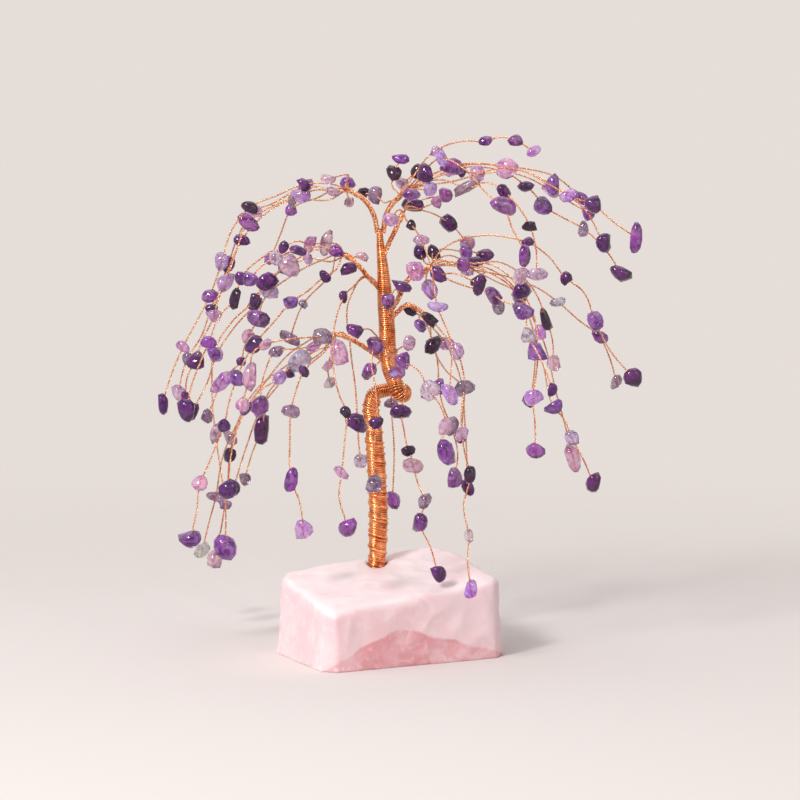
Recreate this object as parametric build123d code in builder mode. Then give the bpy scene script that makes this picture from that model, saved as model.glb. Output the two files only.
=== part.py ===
from build123d import *
from math import cos, pi, radians, sin, sqrt
import os

os.makedirs("parts", exist_ok=True)

# A wire tree with drilled stone chips, standing in a block of rose quartz.
# The origin is on the flat underside of the stone, +Z is up and the front faces -Y.

# Overall sizes
tree_height = 217.0
crown_width = 205.0
crown_depth = 112.0
view_tilt = 9.0

# The same sizes in the picture, and the place of the origin there
tree_height_px = 516
crown_width_px = 489
origin_px = (387.5, 653)

# Base stone
stone_length = 84.0
stone_width = 59.0
stone_turn = 25.0
stone_corner_height = 25.0
stone_rise_right = 8.0
stone_rise_back = 9.5
stone_taper = 3.0
stone_rim_radius = 4.0
stone_cut_over = 20.0

# Corners of the stone's outline, as shares of its length and width, from the front left.
stone_outline_shares = [
    (-0.5, -0.41),
    (-0.44, -0.5),
    (0.45, -0.48),
    (0.52, -0.38),
    (0.5, 0.2),
    (0.42, 0.48),
    (-0.43, 0.49),
    (-0.5, 0.36),
]

# Trunk bundle, with its curl half way up
trunk_set_back = 16.0
trunk_across = 6.0
trunk_sides = 6
trunk_socket_depth = 18.0
trunk_foot_rise = 4.0
trunk_lean_radius = 60.0
trunk_curl_radius = 3.4
trunk_curl_depth = 3.6
trunk_upper_radius = 9.0
socket_clearance = 0.8
socket_floor_gap = 0.5
glue_depth = 13.0
glue_clearance = 0.05
foot_px = (377, 562)
curl_left_px = (372, 391)
curl_right_px = (412, 391)
curl_front_px = (395.5, 398)
above_curl_px = (388.5, 366)
upper_trunk_px = (387.2, 331)
taper_start_px = (386.5, 314)

# Stations of the trunk's taper: the place in the picture and the width there.
taper_px = [
    (386.6, 317, 15.6),
    (383.9, 288, 14.4),
    (382.6, 262, 11.4),
    (381.0, 244, 8.6),
    (380.2, 231, 8.0),
]

# Winding round the lower trunk
winding_gauge = 1.0
winding_turns = 5
winding_clearance = 0.4
winding_least_gap = 0.4
gap_points_per_turn = 24
winding_foot_rise = 2.5
winding_head_room = 9.0

# Boughs, strands and chips
bough_gauge = 1.9
strand_gauge = 0.75
bore_clearance = 0.14
strand_end_gap = 0.3
strand_tail = 0.7
least_bend = 1.0
chip_room_share = 0.48
bore_overrun = 30.0
chip_thickness_share = 0.8

# Chips differ in outline: the corners in shares of half the chip's width and length.
chip_forms_shares = [
    [(0.25, 0.9), (-0.7, 0.55), (-0.8, -0.5), (0.15, -0.9), (0.85, -0.1)],
    [(0.5, 0.85), (-0.65, 0.8), (-0.8, -0.65), (0.7, -0.75)],
    [(0.7, 0.75), (-0.7, 0.6), (-0.55, -0.85), (0.8, -0.5)],
    [(0.55, 0.8), (-0.8, 0.65), (-0.7, -0.7), (0.7, -0.85)],
]

# Tones of the chips, and the node that holds each.
tone_nodes = {
    "dark": "deep",
    "deep": "deep",
    "violet": "violet",
    "lilac": "pale",
    "pink": "pale",
    "smoky": "smoky",
    "clear": "smoky",
}
dark, deep, violet, lilac, pink, smoky, clear = tone_nodes

# Boughs: stations in the picture, each with its depth in shares of half the crown's depth.

bough_routes = {
    "top_left": [(377.6, 234, 0.0), (373.5, 215.5, 0.0), (365.5, 202.5, 0.01), (352, 193, 0.02)],
    "top_right": [(383.2, 234, 0.0), (386.5, 215.5, 0.0), (391, 207, 0.0), (400, 198, 0.0)],
    "crown_right": [(384, 256, 0.0), (390.5, 241, -0.06), (397, 228, -0.1), (402, 216, -0.12)],
    "mid_left": [(379, 289, 0.0), (368.5, 278, -0.05), (357, 265, -0.06), (345, 256, -0.06)],
    "mid_right": [(387, 316, 0.0), (398, 300, -0.16), (408, 281, -0.2), (428, 270, -0.2)],
    "low_left": [(384, 361, 0.0), (367, 349, -0.08), (352, 340, -0.1), (338, 335, -0.1)],
    "low_right": [(388, 325, 0.0), (398, 312, -0.14), (407, 306, -0.18), (421, 312, -0.18)],
    "front": [(386, 341, 0.0), (384, 348, -0.2), (390, 352, -0.26)],
}

# Strands: the depth of the tip in shares of half the crown's depth, then the stations in the picture.
# A station of two numbers is a bend. One with more is a chip: its place, its length, its width,
# how far it leans from upright in degrees, and its tone.
strand_routes = {
    "top_left": [
        (-0.45, [(346, 178), (329, 183, 14, 9, 90, pink)]),
        (-0.12, [(337, 187), (304, 186.5, 13, 13, 0, deep), (278, 197), (250.5, 209.5, 16, 12.5, 90, dark),
                 (235, 227.5), (222.5, 262.5, 17, 13, 165, lilac), (217, 280),
                 (210.5, 297, 15, 12, 90, violet), (198, 321), (184, 347, 14, 9, 125, lilac),
                 (171, 378), (163, 404, 20, 11, 10, deep)]),
        (0.18, [(342, 193), (333.5, 193, 13, 9, 100, pink), (318, 191), (301.5, 196.5, 17, 14, 70, lilac),
                (273, 207), (248.5, 223.5, 22, 13, 135, violet), (236, 253), (225.5, 283, 17, 16, 0, lilac),
                (217, 303), (213.5, 316.5, 12, 11, 0, pink), (203, 338), (194.5, 360, 17, 17, 0, deep),
                (186, 380), (185, 396, 10, 9, 0, deep)]),
        (0.6, [(329, 201), (292.5, 200.5, 13, 11, 45, smoky), (262, 217),
                (241.5, 240, 15.5, 10, 90, deep), (224, 277), (210, 308, 12, 9, 100, deep), (199, 337),
                (185.5, 358.5, 12, 10, 0, smoky), (179, 378), (176.5, 393, 16, 14, 0, pink)]),
        (0.74, [(315, 199), (290.5, 209.5, 11, 11, 0, violet), (279, 234), (270, 256.5, 13, 13, 0, violet)]),
        (0.92, [(330, 190), (306, 187, 16, 12, 60, violet), (272, 203), (252, 211, 17, 13, 80, lilac),
                (236, 236), (226, 263, 16, 12, 20, deep), (216, 290), (211, 313, 14, 12, 70, pink)]),
        (0.36, [(348, 183, 15, 11, 100, violet)]),
        (0.25, [(349, 203, 9, 9, 0, clear)]),
    ],
    "mid_left": [
        (-0.42, [(338, 246), (326.5, 244, 25, 11, 10, clear), (319, 245), (311, 246, 15, 12, 0, pink),
                 (298, 243), (284.5, 249, 12, 9, 30, deep), (262.5, 260), (242.5, 280, 13, 12, 0, deep),
                 (236.5, 300, 20, 10, 20, dark), (222, 316), (210.5, 343, 15, 11, 100, violet),
                 (201, 365), (192.5, 388.5), (187.5, 410.5, 22, 16, 0, deep)]),
        (-0.72, [(341, 252), (337, 252.5, 14, 12, 80, violet), (318, 249), (299.5, 253, 16, 9, 115, deep),
                 (288, 256), (278, 261, 13, 12, 0, clear), (266, 267), (253, 281, 14, 14, 0, violet)]),
        (0.06, [(334, 262), (308, 259.5, 10, 9, 0, pink), (300, 262), (290, 266, 20, 19, 0, pink),
                (278, 273), (267, 282.5, 20, 16, 60, deep), (260, 291), (254, 301, 14, 9, 20, deep),
                (234, 320), (214, 353, 14, 13, 0, violet), (212, 385), (215, 433.5, 18, 13, 165, clear),
                (221, 475), (225, 510), (224.5, 547.5, 23, 21, 0, violet)]),
        (0.42, [(320, 262), (288, 279), (270, 292.5, 16, 12, 90, lilac), (262, 303), (258, 319, 21, 15, 100, violet),
                (252.5, 328), (247.5, 337, 14, 12, 0, pink), (243, 349), (240, 361.5, 9, 9, 0, deep),
                (230, 371), (219.5, 383, 26, 13, 45, lilac), (213, 399), (206, 416, 13, 11, 20, smoky)]),
        (-0.2, [(336, 271), (325, 277.5, 13, 9, 140, deep), (308, 292), (291, 303.5, 14, 12, 90, violet),
                (275, 322), (255, 345, 18, 14, 30, deep), (245, 361), (237.5, 378, 15, 14, 0, violet),
                (230, 401), (224.5, 425, 13, 12, 0, deep), (217, 444), (208, 466), (200.5, 483, 14, 14, 30, pink),
                (197, 510), (191, 538.5, 20, 17, 60, violet)]),
        (0.66, [(330, 276), (302.5, 304, 9, 9, 0, smoky), (294, 322), (289, 338, 22, 10, 120, smoky)]),
        (-0.9, [(352, 289), (344.5, 298, 12, 9, 155, deep), (335, 328), (334, 365), (340, 395),
                (347, 412, 12, 9, 140, dark), (345.5, 440), (342.5, 472, 16, 10, 150, lilac),
                (340, 492), (348.5, 525, 17, 17, 0, violet)]),
        (-0.66, [(350, 300), (351, 350), (356, 390), (358, 422, 22, 15, 115, deep), (359, 440),
                 (361, 460, 13, 12, 0, clear)]),
        (0.9, [(320, 250), (286, 267, 16, 14, 40, violet), (262, 288), (254, 303, 15, 11, 30, deep),
               (232, 327), (214, 354, 14, 12, 0, lilac), (203, 385), (188, 412, 17, 13, 10, deep)]),
        (-0.3, [(349, 270, 16, 11, 70, deep)]),
        (0.25, [(362, 257, 12, 9, 90, pink)]),
    ],
    "low_left": [
        (-0.62, [(333, 334), (324, 337, 20, 14, 100, smoky), (300, 339), (267, 345.5, 13, 10, 70, pink),
                 (256, 352), (251.5, 377, 26, 13, 10, pink), (244, 404, 13, 12, 0, pink)]),
        (0.3, [(332, 340), (314, 346, 15, 9, 50, lilac), (295, 349), (276, 351.5, 15, 11, 90, smoky),
               (264, 373), (259, 405, 18, 17, 0, violet)]),
        (-0.3, [(334, 345), (321, 349), (300, 361.5, 22, 18, 60, clear), (289, 369), (280, 378, 14, 12, 60, lilac),
                (261, 391), (247, 409, 13, 12, 0, violet), (236, 436), (231, 460), (229.5, 489, 19, 16, 60, deep)]),
        (0.56, [(322, 352), (290, 372.5, 10, 9, 0, deep), (268, 392), (260, 430, 28, 14, 5, deep),
                (250, 455), (243, 480, 12, 11, 0, smoky)]),
        (-0.66, [(325, 352), (304.5, 371.5, 11, 10, 0, deep), (297, 390), (292, 411, 17, 12, 115, smoky),
                 (291, 440), (292.5, 478.5, 23, 12, 10, violet), (301, 502), (304.5, 529, 20, 17, 20, lilac)]),
        (-0.45, [(338, 344), (340, 353, 23, 17, 0, pink)]),
        (0.14, [(332, 352), (328, 366, 12, 12, 0, pink), (328, 374), (330, 383, 12, 10, 20, clear)]),
        (0.88, [(300, 346), (262, 385), (228, 438.5, 14, 14, 0, smoky), (219, 462),
               (212.5, 498.5, 18, 10, 100, smoky), (205, 526), (198.5, 552.5, 18, 14, 15, clear)]),
        (0.62, [(300, 357), (250, 397), (228.5, 455, 14, 12, 0, dark), (226, 480),
                (222.5, 505.5, 13, 9, 105, smoky), (218, 533), (211.5, 560, 18, 14, 0, pink)]),
        (0.95, [(318, 346), (299, 363, 16, 13, 30, violet), (276, 386), (258, 410, 15, 12, 0, lilac),
                (244, 446), (230, 490, 16, 13, 20, deep)]),
    ],
    "top_right": [
        (0.1, [(410, 183), (435, 153, 9, 9, 0, lilac), (463, 143), (485, 143, 13, 9, 100, violet),
               (500, 139), (515, 142, 14, 11, 110, violet), (524, 147), (533, 153, 14, 9, 65, lilac)]),
        (-0.16, [(420, 185), (452, 168, 22, 15, 100, violet), (478, 166), (506, 170, 20, 18, 60, pink),
                 (530, 176), (551.5, 187.5, 20, 14, 165, violet), (583, 211), (602, 244.5, 18, 14, 0, deep)]),
        (0.36, [(425, 183), (461.5, 173.5, 10, 9, 0, deep), (477, 175, 16, 14, 0, pink), (505, 174),
                (526, 187, 15, 11, 60, deep), (535, 195), (543, 206, 17, 17, 0, violet), (560, 216),
                (584, 229, 15, 10, 5, smoky), (608, 252), (622, 273, 22, 14, 130, deep)]),
        (-0.56, [(455, 183), (515, 172), (550, 189), (567, 199, 18, 11, 75, lilac),
                 (590, 208, 17, 15, 0, deep), (612, 226), (633, 240.5, 28, 11, 5, violet)]),
        (-0.66, [(440, 182), (466.5, 190, 27, 11, 70, smoky), (487, 186), (502.5, 195, 15, 11, 160, deep),
                 (518, 212), (528, 229.5, 14, 10, 100, dark), (534, 252), (535, 276.5, 18, 14, 60, clear)]),
        (-0.92, [(420, 178), (441, 162, 15, 10, 150, lilac), (462, 172), (488, 200), (501, 210, 24, 17, 95, violet),
                 (510, 232), (522, 259, 20, 12, 165, violet), (519, 279, 15, 14, 0, pink)]),
        (0.0, [(393, 190), (394, 175, 14, 14, 0, dark), (400.5, 161, 16, 9, 95, violet)]),
        (0.24, [(402, 187, 15, 13, 0, clear), (408, 180), (417, 172, 14, 11, 30, dark)]),
        (-0.36, [(413, 189), (425, 176, 17, 14, 0, deep)]),
        (0.55, [(440, 172), (520, 168), (562, 180), (581, 197.5, 17, 11, 115, violet)]),
        (0.62, [(384, 203), (375, 195, 17, 13, 0, smoky), (370, 193), (363, 192, 11, 10, 90, dark)]),
        (0.82, [(425, 184), (452, 170, 17, 13, 80, lilac), (480, 167), (507, 171, 17, 14, 50, deep),
                (532, 178), (552, 189, 17, 13, 150, pink), (574, 202), (591, 211, 15, 13, 0, violet)]),
        (-0.34, [(430, 192, 14, 12, 0, lilac)]),
    ],
    "crown_right": [
        (0.4, [(413, 206, 20, 14, 110, deep), (426, 199), (446, 195, 14, 13, 0, violet)]),
        (0.62, [(425, 212), (449, 223, 17, 14, 140, deep), (460, 233), (468, 243, 14, 14, 0, pink)]),
        (-0.96, [(406, 222), (411.5, 228, 10, 9, 135, dark), (416, 234), (421, 243, 15, 9, 95, pink), (430, 268),
                 (437, 309, 19, 9, 90, lilac), (449, 340), (449, 394, 22, 12, 155, lilac)]),
        (-0.5, [(406, 208), (411, 198, 15, 12, 60, violet)]),
        (-0.26, [(397, 213), (391, 222, 15, 12, 90, pink)]),
        (0.14, [(420, 210), (436, 203, 12, 10, 0, lilac)]),
    ],
    "mid_right": [
        (-0.1, [(440, 253), (477, 237.5), (508, 239), (527, 244, 11, 9, 60, deep), (547, 257),
                (565, 279, 12, 11, 60, deep), (582, 292), (594.5, 321.5, 17, 15, 0, violet), (609, 350),
                (632, 377, 18, 17, 0, deep)]),
        (0.5, [(434, 253, 14, 12, 0, dark), (450, 250), (466, 252.5, 14, 12, 0, violet), (475, 252),
               (485, 256, 18, 13, 70, deep)]),
        (0.28, [(445, 257), (472, 264, 18, 12, 95, deep), (500, 263), (530, 285), (546.5, 319, 22, 10, 170, dark),
                (553, 340), (554.5, 363, 15, 13, 0, pink)]),
        (-0.48, [(435, 263), (463, 266, 14, 12, 0, violet), (485, 265), (520.5, 292.5, 19, 17, 90, deep), (530, 310),
                 (536.5, 350, 20, 18, 0, violet), (535, 375), (532, 397, 17, 15, 60, lilac), (534, 425),
                 (534.5, 450.5, 17, 14, 125, violet)]),
        (0.62, [(480, 272), (533, 286), (558.5, 302, 15, 10, 60, clear), (580, 320),
                (601, 336.5, 17, 11, 110, violet), (612, 358), (619, 382, 15, 10, 10, smoky)]),
        (-0.75, [(438, 276, 16, 15, 0, deep), (458, 277), (478, 287, 20, 11, 20, deep)]),
        (-0.92, [(450, 282), (492.5, 297, 18, 12, 150, violet), (500, 302), (521, 313, 20, 16, 95, violet),
                 (526, 336.5, 14, 13, 0, clear), (541, 366), (550, 390, 13, 9, 0, deep)]),
        (-0.3, [(500, 280), (542, 364), (553.5, 407, 18, 14, 40, violet), (564, 420), (571, 437, 14, 13, 0, clear),
                (583, 460), (592.5, 482, 19, 14, 0, deep)]),
        (0.58, [(490, 270), (540, 332, 15, 12, 0, lilac), (558, 395), (568, 430), (575, 458.5, 27, 14, 170, pink)]),
        (-0.42, [(422, 276), (415, 273, 17, 16, 0, pink)]),
        (-0.1, [(426, 280), (430, 290, 18, 13, 140, lilac)]),
        (0.1, [(424, 262), (420, 253, 14, 12, 0, deep)]),
        (-0.62, [(402, 288, 17, 13, 80, deep)]),
        (-0.32, [(395, 291), (388, 303, 15, 12, 0, violet)]),
        (0.9, [(446, 262), (467, 268, 15, 13, 0, pink), (494, 280), (521, 295, 16, 14, 30, deep), (532, 320),
               (537, 351, 17, 14, 0, lilac), (536, 377), (533, 400, 15, 13, 60, violet)]),
        (1.0, [(484, 270), (479, 281, 15, 11, 60, dark), (487, 292), (500, 306, 14, 12, 0, smoky)]),
    ],
    "low_right": [
        (0.36, [(410, 310, 13, 13, 0, dark), (422, 318), (433.5, 345, 17, 16, 0, dark), (438, 365),
                (439, 387, 15, 12, 165, violet), (443, 405), (451, 426, 18, 14, 20, smoky), (458, 452),
                (455.5, 478.5, 20, 14, 0, violet)]),
        (-0.76, [(430, 319.5, 17, 11, 145, dark), (442, 333), (456, 351.5, 16, 14, 150, lilac), (462, 369),
                 (464, 387, 19, 14, 75, smoky), (461, 410), (461.5, 434, 13, 12, 0, pink), (464, 452),
                 (469, 474, 17, 11, 0, dark), (463, 505), (468, 534, 13, 9, 5, clear), (467, 560),
                 (470.5, 587, 18, 11, 10, lilac)]),
        (0.5, [(430, 325), (446, 344, 14, 13, 110, pink), (460, 375), (466, 430), (468.5, 488, 17, 11, 150, deep)]),
        (-0.62, [(419, 318), (420, 327, 12, 11, 0, violet)]),
        (0.93, [(429, 318), (433, 346, 15, 13, 0, violet), (446, 370), (464, 389, 16, 12, 60, pink), (464, 414),
                (462, 437, 14, 12, 0, deep)]),
    ],
    "front": [
        (-0.84, [(396, 354), (402, 361, 16, 14, 0, violet), (418, 371), (429, 391, 19, 17, 30, clear), (440, 406),
                 (445, 426, 16, 13, 0, pink), (442, 437), (446, 452, 24, 18, 5, violet)]),
        (-0.56, [(392, 362), (397, 372, 15, 12, 90, lilac), (405, 390), (401, 411.5, 20, 13, 90, deep), (404, 430),
                 (408.5, 450, 13, 10, 60, dark), (411, 456), (413, 465, 19, 14, 90, pink), (418, 483),
                 (424.5, 500, 14, 12, 60, smoky), (420, 521, 18, 14, 0, violet), (430, 545),
                 (438, 572.5, 16, 15, 0, deep)]),
        (-0.9, [(381, 338), (375, 346.5, 16, 15, 0, violet), (372, 363), (376, 390), (377, 423, 14, 11, 75, deep),
                (374, 450), (374, 482, 17, 15, 0, smoky)]),
        (-0.45, [(385, 357), (369.5, 372, 16, 14, 0, violet)]),
        (-0.62, [(375, 335), (366, 330), (355, 331.5, 16, 12, 110, deep)]),
        (0.8, [(396, 350), (393, 378), (391, 403, 13, 9, 90, smoky), (394, 450), (392.5, 501, 19, 14, 145, violet)]),
        (-0.5, [(401, 348), (409, 344, 14, 12, 30, clear)]),
    ],
}


half_depth = crown_depth / 2


# Places taken from the picture: right of the origin, back from the trunk and up.
def crown_point(across_px, down_px, depth=0.0):
    right = (across_px - origin_px[0]) * crown_width / crown_width_px
    seen_up = (origin_px[1] - down_px) * tree_height / tree_height_px
    back = trunk_set_back + depth
    up = (seen_up - back * sin(radians(view_tilt))) / cos(radians(view_tilt))
    return Vector(right, back, up)


def picture_size(size_px):
    return size_px * crown_width / crown_width_px


# The top of the stone slopes up from its front left corner to the right and to the back.
stone_plane = Plane.XY.rotated((0, 0, stone_turn))
stone_block_height = stone_corner_height + stone_rise_right + stone_rise_back + stone_cut_over


def stone_top_corner(right_share, back_share):
    rise = (0.5 + right_share) * stone_rise_right + (0.5 + back_share) * stone_rise_back
    return stone_plane.from_local_coords(
        (right_share * stone_length, back_share * stone_width, stone_corner_height + rise)
    )


top_front = stone_top_corner(-0.5, -0.5)
top_right = stone_top_corner(0.5, -0.5)
top_left = stone_top_corner(-0.5, 0.5)
stone_top_plane = Plane(
    origin=stone_top_corner(0, 0),
    x_dir=top_right - top_front,
    z_dir=(top_right - top_front).cross(top_left - top_front),
)


# Height of the stone's top over a place in the plan.
def stone_top_at(right, back):
    slope = stone_top_plane.z_dir
    centre = stone_top_plane.origin
    return centre.Z - (slope.X * (right - centre.X) + slope.Y * (back - centre.Y)) / slope.Z


stone_outline = []
for right_share, back_share in stone_outline_shares:
    stone_outline.append((right_share * stone_length, back_share * stone_width))

foot_seen = crown_point(*foot_px)
foot = Vector(foot_seen.X, foot_seen.Y, stone_top_at(foot_seen.X, foot_seen.Y))
socket_floor = foot.Z - trunk_socket_depth
socket_radius = trunk_across / 2 + socket_clearance

# Base stone: a block that narrows upwards, cut along its sloping top, with a soft rim and a drilled socket
with BuildPart() as base_stone:
    with BuildSketch(stone_plane):
        Polygon(*stone_outline, align=None)
    extrude(amount=stone_block_height, taper=stone_taper)
    split(bisect_by=stone_top_plane, keep=Keep.BOTTOM)
    fillet(faces().sort_by(Axis.Z)[-1].edges(), stone_rim_radius)
    with BuildSketch(Plane.XY.offset(socket_floor)):
        with Locations((foot.X, foot.Y)):
            Circle(socket_radius)
    extrude(amount=stone_block_height, mode=Mode.SUBTRACT)

# Trunk: a bundle of wire that stands in the socket, curls once round itself and tapers to the fork
trunk_start = Vector(foot.X, foot.Y, socket_floor + socket_floor_gap)
trunk_leaves = Vector(foot.X, foot.Y, foot.Z + trunk_foot_rise)
curl_left = crown_point(*curl_left_px, trunk_curl_depth)
trunk_route = [
    trunk_start,
    trunk_leaves,
    curl_left,
    crown_point(*curl_right_px, trunk_curl_depth),
    crown_point(*curl_right_px, -trunk_curl_depth),
    crown_point(*curl_front_px, -trunk_curl_depth),
    crown_point(*above_curl_px, -trunk_curl_depth / 2),
    crown_point(*upper_trunk_px),
    crown_point(*taper_start_px),
]
trunk_corner_radii = [trunk_lean_radius] + [trunk_curl_radius] * 4 + [trunk_upper_radius] * 2

with BuildPart() as trunk_core:
    with BuildLine():
        FilletPolyline(*trunk_route, radius=trunk_corner_radii)
    with BuildSketch(Plane(origin=trunk_start, z_dir=Vector(0, 0, 1))):
        RegularPolygon(radius=trunk_across / 2, side_count=trunk_sides)
    sweep()
    taper_axis = crown_point(*taper_px[-1][:2]) - crown_point(*taper_px[0][:2])
    for across_px, down_px, width_px in taper_px:
        with BuildSketch(Plane(origin=crown_point(across_px, down_px), z_dir=taper_axis)):
            RegularPolygon(radius=picture_size(width_px) / 2, side_count=trunk_sides)
    loft(ruled=True)

# Winding: one wire in coarse turns round the lower trunk, each half turn two tangent arcs
winding_axis = (curl_left - trunk_leaves).normalized()
winding_plane = Plane(origin=trunk_leaves, z_dir=winding_axis)
winding_start = winding_foot_rise - trunk_foot_rise
winding_rise = (curl_left - trunk_leaves).length - winding_head_room - winding_start
winding_radius = trunk_across / 2 + winding_clearance + winding_gauge / 2
winding_pitch = winding_rise / winding_turns
biarcs_per_turn = 2


def winding_place(turns):
    angle = 2 * pi * turns
    height = winding_start + winding_pitch * turns
    return winding_plane.from_local_coords(
        Vector(winding_radius * cos(angle), winding_radius * sin(angle), height)
    )


def winding_direction(turns):
    angle = 2 * pi * turns
    around = 2 * pi * winding_radius
    local = Vector(-around * sin(angle), around * cos(angle), winding_pitch)
    there = winding_plane.from_local_coords(local)
    return (there - winding_plane.origin).normalized()


# The joint of the two arcs that leave one place and reach the next in the given directions.
def arc_joint(start, leaving, end, reaching):
    chord = end - start
    both = leaving + reaching
    spare = 2 * (1 - leaving.dot(reaching))
    across = chord.dot(both)
    reach = (sqrt(across**2 + spare * chord.dot(chord)) - across) / spare
    return (start + leaving * reach + end - reaching * reach) * 0.5, reach


with BuildPart() as trunk_winding:
    with BuildLine() as winding_line:
        first = winding_place(0)
        Line(first - winding_direction(0) * winding_gauge, first)
        for step in range(winding_turns * biarcs_per_turn):
            turns = step / biarcs_per_turn
            next_turns = (step + 1) / biarcs_per_turn
            start, leaving = winding_place(turns), winding_direction(turns)
            end, reaching = winding_place(next_turns), winding_direction(next_turns)
            joint, reach = arc_joint(start, leaving, end, reaching)
            TangentArc(start, joint, tangent=leaving)
            TangentArc(joint, end, tangent=(end - reaching * reach) - (start + leaving * reach))
        Line(end, end + reaching * winding_gauge)
    with BuildSketch(Plane(origin=first - winding_direction(0) * winding_gauge, z_dir=winding_direction(0))):
        Rectangle(winding_gauge, winding_gauge)
    sweep()


# The least gap of the winding to itself, measured between points on turns at least half a turn apart.
def least_gap():
    wire = winding_line.wires()[0]
    per_turn = gap_points_per_turn
    count = per_turn * winding_turns
    points = [wire.position_at(step / count) for step in range(count + 1)]
    gaps = []
    for first_step, point in enumerate(points):
        for other in points[first_step + per_turn // 2:first_step + 2 * per_turn]:
            gaps.append((other - point).length - winding_gauge * sqrt(2))
    return min(gaps)


print("least gap of the winding to itself", round(least_gap(), 2), "wanted over", winding_least_gap)

# Glue: what fills the socket round the foot of the trunk
with BuildPart() as socket_glue:
    with BuildSketch(Plane.XY.offset(socket_floor)):
        with Locations((foot.X, foot.Y)):
            Circle(socket_radius - glue_clearance)
    extrude(amount=glue_depth)
    add(trunk_core.part, mode=Mode.SUBTRACT)


# A square wire along straight runs with mitred corners. A corner that hardly turns it is left out.
def wire_along(corners, gauge):
    bends = corners[:1]
    for corner, following in zip(corners[1:], corners[2:]):
        if (corner - bends[-1]).get_angle(following - corner) > least_bend:
            bends.append(corner)
    bends.append(corners[-1])
    with BuildPart() as wire:
        with BuildLine():
            Polyline(*bends)
        with BuildSketch(Plane(origin=bends[0], z_dir=bends[1] - bends[0])):
            Rectangle(gauge, gauge)
        sweep(transition=Transition.RIGHT)
    return wire.part


# A chip: the outline that faces the front, narrower at its face than at its back, drilled along its strand.
def drilled_chip(centre, direction, shape, corners_shares):
    long_px, wide_px, lean, tone = shape
    half_long, half_wide = picture_size(long_px) / 2, picture_size(wide_px) / 2
    outline = []
    for wide_share, long_share in corners_shares:
        outline.append((wide_share * half_wide, long_share * half_long))
    across = Vector(cos(radians(lean)), 0, -sin(radians(lean)))
    half_thick = half_wide * chip_thickness_share
    bore = strand_gauge * sqrt(2) + bore_clearance
    with BuildPart() as chip:
        with BuildSketch(Plane(origin=centre + Vector(0, half_thick, 0), x_dir=across, z_dir=(0, -1, 0))):
            Polygon(*outline, align=None)
        extrude(amount=2 * half_thick)
        with BuildSketch(Plane(origin=centre, z_dir=direction)):
            Rectangle(bore, bore)
        extrude(amount=bore_overrun, both=True, mode=Mode.SUBTRACT)
    return chip.part


# How far a chip reaches from its centre along its strand
def reach_along(direction, shape):
    long_px, wide_px, lean, tone = shape
    upright_share = direction.dot(Vector(sin(radians(lean)), 0, cos(radians(lean))))
    half_long, half_wide = picture_size(long_px) / 2, picture_size(wide_px) / 2
    return sqrt((half_long * upright_share) ** 2 + half_wide**2 * (1 - upright_share**2))


# The corners of a strand from its root on the bough, and its chips with the corner before each.
# A strand runs straight through each chip, so it may bend just before and just behind one.
def strand_runs(root, tip_share, stations):
    root_share = (root.Y - trunk_set_back) / half_depth
    places = []
    for step, station in enumerate(stations, 1):
        ease = sin(pi / 2 * step / len(stations))
        depth = half_depth * (root_share + (tip_share - root_share) * ease)
        places.append(crown_point(station[0], station[1], depth))
    corners = [root]
    hung = []
    for step, station in enumerate(stations):
        place = places[step]
        if len(station) == 2:
            corners.append(place)
            continue
        if step + 1 == len(stations):
            direction = (place - corners[-1]).normalized()
            hung.append((len(corners) - 1, place, station[2:]))
            corners.append(place + direction * (reach_along(direction, station[2:]) + strand_tail))
        else:
            direction = (places[step + 1] - corners[-1]).normalized()
            reach = reach_along(direction, station[2:]) + strand_tail
            reach = min(reach, chip_room_share * (places[step + 1] - place).length)
            if step:
                reach = min(reach, chip_room_share * (place - places[step - 1]).length)
            corners.extend([place - direction * reach, place + direction * reach])
            hung.append((len(corners) - 2, place, station[2:]))
    return corners, hung


# The strand in lengths of wire that meet inside the bores, and the chips that they carry
def strand_pieces(root, tip_share, stations):
    corners, hung = strand_runs(root, tip_share, stations)
    lengths = []
    chips = []
    length_start, next_corner = root, 1
    for run, place, shape in hung:
        direction = (corners[run + 1] - corners[run]).normalized()
        chips.append((place, direction, shape))
        if len(chips) < len(hung):
            met = place - direction * strand_end_gap / 2
            lengths.append([length_start] + corners[next_corner:run + 1] + [met])
            length_start, next_corner = place + direction * strand_end_gap / 2, run + 1
    lengths.append([length_start] + corners[next_corner:])
    return lengths, chips


def nearest_corner(corners, stations):
    towards = crown_point(stations[0][0], stations[0][1], corners[-1].Y - trunk_set_back)
    return min(corners[1:], key=lambda corner: (corner - towards).length)


named_pieces = [
    ("base_stone", base_stone),
    ("trunk_core", trunk_core),
    ("trunk_winding", trunk_winding),
    ("socket_glue", socket_glue),
]

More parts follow.
